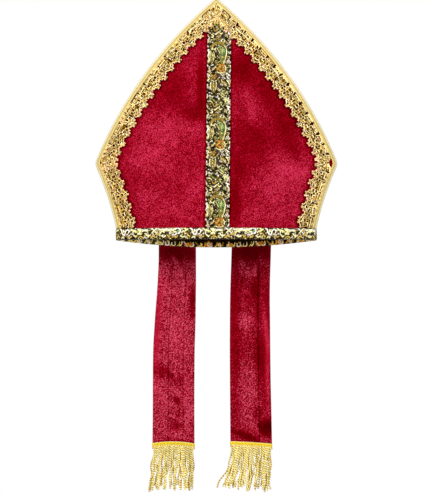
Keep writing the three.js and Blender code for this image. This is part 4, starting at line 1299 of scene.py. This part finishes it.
def laceShape(l):
    # the strands laid along the guide, one set for each repeat, each a little out of true
    rows = laceStrands(l)
    curve = np.array([row[:6] for row in rows]).reshape(-1, 3, 2)
    wide = np.array([row[6] for row in rows])
    rise = np.array([row[7] for row in rows])
    dye = np.array([laceDyes[row[8]] for row in rows])
    tip = np.array([row[8] == "peach" for row in rows])
    repeats = laceRepeats
    t = np.linspace(0, 1, l["rings"])
    one = bezier(curve[:, None, 0], curve[:, None, 1], curve[:, None, 2], t)
    shift = rng.normal(0, l["jitter"], (repeats, len(rows), 1, 2)) * swell(t, 0.4)[:, None]
    local = one[None] + shift * (1 / l["repeat"], 1)
    at = local[..., 0] + np.arange(repeats)[:, None, None]
    middle, lowRight = repeats / 2, repeats - l["sideRepeats"]
    opened = smooth(at, middle - 2, middle + 2) * smooth(at, lowRight + 1.6, lowRight + 0.6)
    apart = l["open"] * (l["openMore"] * opened - 1)
    at = at + apart * np.sin(2 * np.pi * local[..., 0]) * smooth(local[..., 1], *l["openDepth"])
    r = np.clip(at, l["endGap"], repeats - l["endGap"])
    q = local[..., 1] - laceCut(local[..., 0], r) * smooth(local[..., 1], *l["cutDepth"])
    fromCorner = np.abs(r - repeats + l["sideRepeats"])
    pulled, *near = l["corner"]  # the lace stands off the binding at the right shoulder
    q = np.clip(q + pulled * smooth(fromCorner, *near) * smooth(q, *l["cornerDepth"]), *l["limits"])
    footX, footZ = laceFoot(r, q)
    nearRibbon, climbRun = l["climbRun"]
    climb = l["climb"] * np.clip(1 - (np.abs(footX) - nearRibbon) / climbRun, 0, 1)
    taper = np.where(tip[:, None], swell(t, 0.4), swell(t, 0.75))
    closed = smooth(r, middle, middle - 3) + smooth(r, lowRight + 0.6, lowRight + 1.6)
    width = wide[:, None] * taper * (1 + l["closer"] * closed * smooth(q, *l["closerDepth"]))
    height = np.minimum(width, np.where(tip, l["tallest"][1], l["tallest"][0])[:, None])
    lift = form["trimFoot"] + climb + np.maximum(rise[:, None], l["lowest"])
    paths = onFront(footX, footZ, lift).reshape(-1, l["rings"], 3)
    facing = bowNormal(footX, cutHeight(footX, footZ)).reshape(-1, l["rings"], 3)
    shape = tubes(paths, facing, width.reshape(-1, l["rings"]), height.reshape(-1, l["rings"]), l["sides"])
    stray = (rng.uniform(0, 1, (repeats, len(rows))) < l["strays"]) & ~tip
    other = np.array(list(laceDyes.values()))[rng.integers(0, 6, stray.shape)]
    worn = np.where(stray[..., None], other, dye)[:, :, None]
    shade = rng.uniform(*l["shade"], (repeats, len(rows), 1, 1)) * np.ones((1, 1, l["rings"], 1))
    # painted shade: the lace low on the left side is darker
    low = smooth(r, l["sideRepeats"] + 5, l["sideRepeats"] + 1)[..., None]
    outer = (closed * smooth(q, *l["outerDepth"]))[..., None]
    tint = worn * shade * (1 - low * (1 - np.array(l["lowLeftShade"])))
    steps = 2.4 * np.arange(l["rings"])[:, None] + 1.7 * np.arange(repeats)[:, None, None, None]
    broken = 0.66 + 0.44 * np.sin(steps)
    tint = tint * (1 - outer * (1 - np.array(l["outerLeft"]) * broken))
    fade = tip[:, None] * np.maximum(1 - smooth(t, 0.1, 0.5), smooth(np.abs(r - middle), 2.4, 1.2))
    fade = fade[..., None]  # picots are peach only at their ends, and plain by the apex
    gold, cream = l["picotPlain"]
    plain = (gold * np.array(laceDyes["gold"]) + cream * np.array(laceDyes["cream"])) * shade
    tint = (tint * (1 - fade) + plain * fade).reshape(-1, l["rings"], 3)
    run = np.broadcast_to(t, (len(paths), l["rings"]))
    turn = np.arange(len(paths))[:, None] * l["turnStep"] + 0 * run
    uv = alongTubes(np.stack([turn, run], -1), l["sides"])
    # the strands' lower sides take the under dye: painted shade
    top = smooth(np.sin(2 * np.pi * np.arange(l["sides"]) / l["sides"]), -0.8, 0.4)[:, None]
    return shape, uv, alongTubes(tint, l["sides"], top + (1 - top) * np.array(laceDyes["under"]))


def threadMaterial(name, turns, rough, metal, gloss):
    # spun metal thread: the strand's own dye, lighter and darker along its twist
    material, tree, shader = newMaterial(name, Roughness=rough, Metallic=metal, Specular_IOR_Level=gloss)
    dye = attributeNode(tree, "dye").outputs["Color"]
    twist = useGroup(tree, threadTwist, Turns=turns, Wear=9.0)
    dyeThreads(tree, shader, dye, twist, (0.15, 0.66, 0.60, 0.50), (0.8, 1.14, 1.14, 1.12), (0.4, 0.0003))
    return material


laceThread = threadMaterial("laceThread", 7.0, 0.5, 0.0, 0.03)
laceMesh, laceUv, laceDye = laceShape(lace)
addPiece("laceFront", laceMesh, laceThread, "front_lace", laceUv, laceDye)

# Lappets behind the rim

lappet = {
    "hang": 284,
    "half": 29.5,
    "thickness": 2.2,
    "sewn": 13.0,
    "settle": 90.0,
    "footLift": 5.1,
    "rows": 200,
    "cols": 34,
    "besideSeam": (-1.4, -0.8, -0.4, 0, 0.4, 0.8, 1.4),
    "crowding": 0.96,  # of the columns towards the edges
    "foldDepth": 0.42,
    "foldRun": 1.6,
    "hem": 0.6,
    "stitch": 2.6,
    "groove": (0.55, 0.3),  # half width, painted shade in the groove
    "backHem": 0.4,
    "wave": 0.5,
    "waves": (8, 120, 16),
    "waveHalf": 29,
    "stitchFrom": (8, 40),
    "freeFrom": (5, 40),
    "hemRun": 22,
    "backTone": (0.10, (6, 120, 30)),
    "smoothest": 0.8,
}
# rows: drop below the rim, middle, width, swing backwards
# smooth, where the pile is pressed, and marks: across, drop, half length, half width, turn, tone
lappets = {
    "left": {
        "rows": readRows("""
            0 -56 53.5 0; 20 -56 53.5 0.4; 45 -56.4 54.5 1; 75 -57.4 56 0.6; 110 -58.8 58 -0.8
            150 -60.4 59 -1.4; 195 -60.8 59 -0.4; 240 -60.8 59 0.8; 284 -60.8 59.5 1.2
        """),
        "endSlope": 0.0,
        "endArch": 2.6,
        "lean": (-9, 3),
        "level": 0.07,
        "seams": (-7.7, 13.3),
        "smooth": readRows("""
            -25 130 80 5 90 0.8; 0 4 30 12 0 0.4
        """),
        # the first mark, dark across the top, is painted shadow of the rim band; the one at drop 283, along
        # the foot, is painted shade above the fringe head
        "marks": readRows("""
            0 10 34 17 0 -0.27; -3 24 12 4 60 0.26; 12 18 12 4 80 0.08; -4 62 22 26 0 0.05
            -24 140 90 4 90 0.12; 24 84 26 5 90 -0.24; 4 135 30 12 90 0.15; -18 184 14 11 20 -0.2
            -1 194 14 3 60 -0.18; 9 196 16 3 75 -0.18; 5 226 9 5 40 -0.24; 3 262 9 8 0 -0.2
            -20 212 18 7 60 0.1; 18 214 24 8 90 0.08; 0 283 30 3 0 -0.16; 20 250 18 6 90 0.05
        """),
    },
    "right": {
        "rows": readRows("""
            0 50.4 56.5 0; 20 49.8 56.6 0.5; 45 49 56.6 1.2; 75 48.3 56.8 1; 110 48.2 57.4 -0.4
            150 48.2 57.8 -1.2; 195 48.5 58 -0.6; 240 49.1 58.6 0.6; 284 49.6 59 1
        """),
        "endSlope": -0.07,
        "endArch": 0.4,
        "lean": (-16, -2),
        "level": -0.07,
        "seams": (11.8,),
        "smooth": readRows("""
            24 150 80 8 90 0.8; 0 4 30 12 0 0.3; -24 110 90 6 90 0.5
        """),
        # the first mark, dark across the top, is painted shadow of the rim band
        "marks": readRows("""
            0 8 34 14 0 -0.14; 14 20 12 3 86 0.1; -16 18 10 4 70 0.08; -7 36 12 8 60 0.2
            7 34 9 4 90 0.18; -20 80 60 7 90 -0.06; 12 78 50 4 90 -0.1; -6 112 16 14 30 0.13
            24 128 34 4 84 0.3; 25 190 40 3.5 90 0.26; -3 206 34 13 90 0.16; 6 66 14 5 90 -0.12
            -20 165 30 6 90 -0.06; 22 262 13 11 -30 -0.24; -4 250 10 14 0 0.14; -6 276 20 5 20 -0.18
            14 164 30 6 90 -0.12; 6 262 12 3 55 0.18; 22 281 12 5 0 0.08
        """),
    },
}


def behindBand(x, faceLift):
    # distance behind the seams' plane where a lappet lies on the back band
    zero = 0 * x
    return bowDepth(x, zero) - (lappet["footLift"] + faceLift) / bowNormal(x, zero)[..., 1]


def onLappet(side, drop, share, faceLift):
    # down from the rim by drop, across by share from -1 to 1, faceLift measured backwards
    table = np.array(side["rows"], float)
    drop, share, faceLift = np.broadcast_arrays(drop, share, faceLift)
    below = np.maximum(drop, 0)
    middle, width, swing = (flow(table[:, 0], table[:, k], below) for k in (1, 2, 3))
    reach = share * width / 2
    x = middle + reach
    turn = (behindBand(middle + width / 2, 0 * x) - behindBand(middle - width / 2, 0 * x)) / width
    straight = behindBand(middle, faceLift) + turn * reach
    settled = smooth(below, 0, lappet["settle"])
    last = table[-1, 0]
    slant = (side["endSlope"] * reach + side["endArch"] * (0.4 - share ** 2)) * smooth(below, last / 2, last)
    y = behindBand(x, faceLift) * (1 - settled) + straight * settled + swing
    z = cutHeight(x, np.maximum(-drop, 0)) * (1 - settled) - below + slant
    return np.stack([x, y, z], -1)


def lappetShape(l, side):
    # a grid down the strip; the edges are folded round, and each hem is sewn in as a narrow groove
    even = np.linspace(-1, 1, l["cols"])
    curved = np.sin(even * np.pi / 2 * l["crowding"])
    extra = (np.array(side["seams"])[:, None] + l["besideSeam"]).ravel() / l["half"]
    share = np.sort(np.concatenate([0.5 * even + 0.5 * curved / curved.max(), extra]))[None]
    drop = np.linspace(-l["sewn"], l["hang"], l["rows"])[:, None]
    fromEdge = (1 - np.abs(share)) * l["half"]
    fold = l["foldDepth"] * l["thickness"] * np.sqrt(np.clip(1 - fromEdge / l["foldRun"], 0, 1))
    stitch = (0.8 + 0.2 * np.sin(2 * np.pi * drop / l["stitch"])) * smooth(drop, *l["stitchFrom"])
    grooves = [np.exp(-((l["half"] * share - seam) / l["groove"][0]) ** 2) for seam in side["seams"]]
    groove = sum(grooves) * stitch
    free = smooth(drop, *l["freeFrom"]) * (1 - smooth(drop, l["hang"] - l["hemRun"], l["hang"]))
    wave = l["wave"] * ripples(l["waveHalf"] * share, drop, l["waves"]) * free
    front = onLappet(side, drop, share, fold + l["hem"] * groove + wave)
    back = onLappet(side, drop, share, l["thickness"] - fold - l["backHem"] * l["hem"] * groove + wave)
    uv = np.stack(np.broadcast_arrays(l["half"] * share, -drop), -1) / 100
    return slab(front, back), bothFaces(uv), share * l["half"], drop, groove


for name, side in lappets.items():
    lappetMesh, lappetUv, sideX, sideDrop, groove = lappetShape(lappet, side)
    # painted shade in the sewn grooves, added to the marks
    tone = brushed(sideX, sideDrop, side["marks"]) + side["level"] - lappet["groove"][1] * groove
    soft = side["level"] + lappet["backTone"][0] * ripples(sideX, sideDrop, lappet["backTone"][1])
    tones = np.concatenate([tone.ravel(), soft.ravel()])
    pressed = np.clip(brushed(sideX, sideDrop, side["smooth"]), 0, lappet["smoothest"])
    nap = (1 - pressed) * napUnder(tone)
    values = {"brushAndShade": tones, "wrongSide": 0 * tones, "nap": bothFaces(nap)}
    side["piece"] = addPiece("lappet" + name.title(), lappetMesh, lappetVelvet, "lappet_" + name,
                             lappetUv, values=values)

# Fringe: a braided head and twisted cords

fringe = {
    "height": 8.0,
    "thickness": 3.6,
    "half": 30,
    "headGrid": (124, 22),
    "ridges": (0.62, 0.9),
    "cordDown": 0.8,
    "dotsDown": 2.6,
    "dots": 4.6,
    "row": 0.7,
    "net": (3.33, 3.6),
    "lower": (3.9, 4.7),
    "rises": (0.22, 0.25, -0.35, -0.3),  # of ridges, cord, dots and the whole face
    "rim": (0.55, 0.45),  # share of the thickness at the upper and lower edge, and what the middle adds
    "droop": (0.3, 3.1),
    "overhang": 0.5,
    "gap": 0.3,
    "front": 28,
    "behind": 20,
    "length": 64.5,
    "uneven": (-7, 2),
    "rootIn": 2.4,  # the cords start inside the head
    "headIn": 3,
    "apart": 2.8,  # of the two rows
    "frontRow": 1.3,
    "strayLean": 3.0,
    "locks": 8,
    "gather": (0.1, 0.6),
    "gatherReach": (60, 20),  # front row, row behind
    "gatherRun": (0.05, 0.9),
    "sways": ((2.4, 1.6), (1.5, 3.6)),  # reach, half waves
    "tempo": (0.7, 1.3),
    "drift": 0.6,
    "shade": (0.8, 1.2),
    "rootShare": 0.95,
    "turnStep": 0.31,
    "ply": 0.67,
    "twist": 0.62,
    "pitch": 6.8,
    "rings": 90,
    "sides": 5,
    "behindShade": (0.2, 0.33, 0.6),
    "plyGapShade": (0.74, 0.82, 0.98),  # painted shade between the plies, taken from the dye
    "plyGapShadeTurn": (0.62, 0.2),
}
headDyes = {
    "yellow": (0.82, 0.60, 0.012),
    "cream": (0.95, 0.74, 0.05),
    "olive": (0.40, 0.31, 0.02),
    "cord": (0.92, 0.74, 0.24),
    "hole": (0.17, 0.11, 0.008),
}
plyDyes = ((1.0, 0.97, 0.56), (1.0, 0.81, 0.22))


def headShape(f, side):
    # a flat braid: rounded across its thickness, with crossing ridges |sin(x/a + z/b)| and |sin(x/a - z/b)|
    cols, rows = f["headGrid"]
    share = np.linspace(-1, 1, cols)[None]
    down = np.linspace(0, 1, rows)[:, None]
    reach = 1 + f["overhang"] / f["half"]
    x, z = f["half"] * share + 0 * down, f["height"] * down + 0 * share
    a, b = f["ridges"]
    ridge = np.maximum(np.abs(np.sin(x / a + z / b)), np.abs(np.sin(x / a - z / b)))
    cord = np.exp(-((z - f["cordDown"]) / f["row"]) ** 2)
    spaced = smooth(np.sin(2 * np.pi * x / f["dots"]), 0.4, 0.9)
    dots = np.exp(-((z - f["dotsDown"]) / f["row"]) ** 2) * spaced
    a, b = f["net"]
    net = np.abs(np.sin(np.pi * (x / a + z / b))) * np.abs(np.sin(np.pi * (x / a - z / b)))
    lower = smooth(z, *f["lower"])
    thin, more = f["rim"]
    bulge = f["thickness"] / 2 * (thin + more * np.sqrt(np.clip(1 - (2 * down - 1) ** 2, 0, 1)))
    ends = 1 - 0.5 * np.clip((np.abs(share) - 0.97) / 0.03, 0, 1)
    onRidge, onCord, onDots, onFace = f["rises"]
    puff = bulge * ends + onRidge * ridge + onCord * cord + onFace + onDots * dots
    faces = []
    for sign in (-1, 1):
        lift = lappet["thickness"] / 2 + sign * puff
        face = onLappet(side, lappet["hang"] + 0 * z, reach * share + 0 * down, lift)
        face[..., 2] -= f["gap"] + z + f["droop"][0] * np.sin(x / f["droop"][1]) * down
        faces.append(face)
    dye = np.array(headDyes["yellow"]) + 0 * x[..., None]
    # the net's dark holes are painted shade
    layers = ((0.7 * smooth(ridge, 0.95, 0.75), "olive"), (0.8 * np.clip(cord, 0, 1), "cream"),
              (lower, "cord"), (dots, "olive"), (lower * smooth(net, 0.42, 0.12), "hole"))
    for cover, label in layers:
        dye = dye * (1 - cover[..., None]) + np.array(headDyes[label]) * cover[..., None]
    return slab(*faces), bothFaces(np.stack([x, z], -1) / 100), bothFaces(dye)


def cordShape(f, side):
    # a close row of cords and a loose row behind: two plies wound round each line, which leans and waves
    count = f["front"] + f["behind"]
    t = np.linspace(0, 1, f["rings"])[None]
    share = np.concatenate([(np.arange(n) + 0.5) / n for n in (f["front"], f["behind"])])[:, None]
    layer = (np.arange(count) >= f["front"])[:, None]
    root = onLappet(side, lappet["hang"] + 0 * share, f["rootShare"] * (2 * share - 1),
                    lappet["thickness"] / 2 + 0 * share)
    length = f["length"] + rng.uniform(*f["uneven"], share.shape)
    first, last = side["lean"]
    angle = first + (last - first) * np.sqrt(share) + rng.normal(0, f["strayLean"], share.shape)
    lean = np.tan(np.radians(angle))
    lock = (np.round(share * f["locks"] - 0.5) + 0.5) / f["locks"]
    near, behind = f["gatherReach"]
    gather = rng.uniform(*f["gather"], share.shape) * (lock - share) * np.where(layer, behind, near)
    sway = 0
    for swing, waves in f["sways"]:
        reach = rng.uniform(-swing, swing, share.shape)
        phase = np.pi * waves * t * rng.uniform(*f["tempo"], share.shape)
        sway = sway + reach * np.sin(phase) * smooth(t, 0, 0.5)
    x = root[..., 0] + lean * length * t ** 1.5 + gather * smooth(t, *f["gatherRun"]) + sway
    drift = rng.uniform(-f["drift"], f["drift"], share.shape) * np.sin(4 * t)
    y = root[..., 1] + (f["apart"] * layer - f["frontRow"]) * (0.8 + 0.2 * t) + drift
    z = root[..., 2] - f["gap"] - f["height"] + f["rootIn"] - (length - f["headIn"]) * t
    line = np.stack([x, y, z], -1)
    along = unit(np.gradient(line, axis=1))
    facing = np.array([0.0, -1.0, 0.0]) + 0 * along
    sideways = unit(np.cross(along, facing))
    up = np.cross(sideways, along)
    wind = 2 * np.pi * (length * t / f["pitch"] + rng.uniform(0, 1, share.shape))
    shade = rng.uniform(*f["shade"], (count, 1, 1)) * (1 - layer[..., None] * np.array(f["behindShade"]))
    paths, tints = [], []
    for phase, dye in zip((0, np.pi), plyDyes):
        swing = f["twist"] * (1 + 0.3 * smooth(t, 0.9, 1))
        turn = wind + phase
        offset = np.cos(turn)[..., None] * sideways + np.sin(turn)[..., None] * up
        paths.append(line + swing[..., None] * offset)
        # painted shade where each ply turns in between the plies
        plyGapShade = smooth(np.abs(np.sin(turn)), *f["plyGapShadeTurn"])[..., None]
        tints.append(np.array(dye) * shade * (1 - plyGapShade * np.array(f["plyGapShade"])))
    paths = np.concatenate(paths)
    size = f["ply"] * (1 - 0.3 * smooth(t, 0.94, 1)) + 0 * paths[..., 0]
    shape = tubes(paths, np.concatenate([up, up]), size, size, f["sides"])
    run = np.concatenate([length * t, length * t]) / 100
    around = np.arange(len(paths))[:, None] * f["turnStep"] + 0 * run
    uv = alongTubes(np.stack([around, run], -1), f["sides"])
    return shape, uv, alongTubes(np.concatenate(tints), f["sides"])


fringeHead = threadMaterial("fringeHead", 120.0, 0.5, 0.1, 0.15)
fringeCord = threadMaterial("fringeCord", 150.0, 0.42, 0.1, 0.15)
for name, side in lappets.items():
    end = name.title()
    shape, uv, dye = headShape(fringe, side)
    head = addPiece("fringeHead" + end, shape, fringeHead, "fringe_" + name, uv, dye)
    shape, uv, dye = cordShape(fringe, side)
    cords = addPiece("fringeCords" + end, shape, fringeCord, "fringe_" + name, uv, dye)

# Floor


def makeFloor(s):
    # a round sheet of pale paper: a square grid drawn in to a disc, x sqrt(1 - y^2/2), higher outwards
    even = np.linspace(-1, 1, s["floorGrid"])
    a, b = np.meshgrid(even, even)
    radius = 1000 * s["floorRadius"]
    x, y = radius * a * np.sqrt(1 - b ** 2 / 2), radius * b * np.sqrt(1 - a ** 2 / 2)
    z = 1000 * s["floorHeight"] + s["floorRise"] * (x ** 2 + y ** 2)
    material, tree, shader = newMaterial("palePaper", Roughness=0.8)
    place = addNode(tree, "ShaderNodeTexCoord").outputs["Object"]
    noise = addNode(tree, "ShaderNodeTexNoise", Scale=3.0, Detail=3)
    tree.links.new(place, noise.inputs["Vector"])
    dyed = rampNode(tree, noise.outputs["Fac"], ((0.2, 0.80, 0.80, 0.79), (0.8, 0.86, 0.86, 0.85)))
    joinNodes(tree, (dyed, shader.inputs["Base Color"]))
    points, quads, _ = slab(np.stack([x, y, z], -1), np.stack([x, y, z - s["floorThickness"]], -1))
    mesh = bpy.data.meshes.new("floor")
    mesh.from_pydata((points * 0.001).tolist(), [], quads.tolist())
    mesh.materials.append(material)
    floor = bpy.data.objects.new("floor", mesh)
    scene.collection.objects.link(floor)


makeFloor(studio)
print("floor: pale paper")
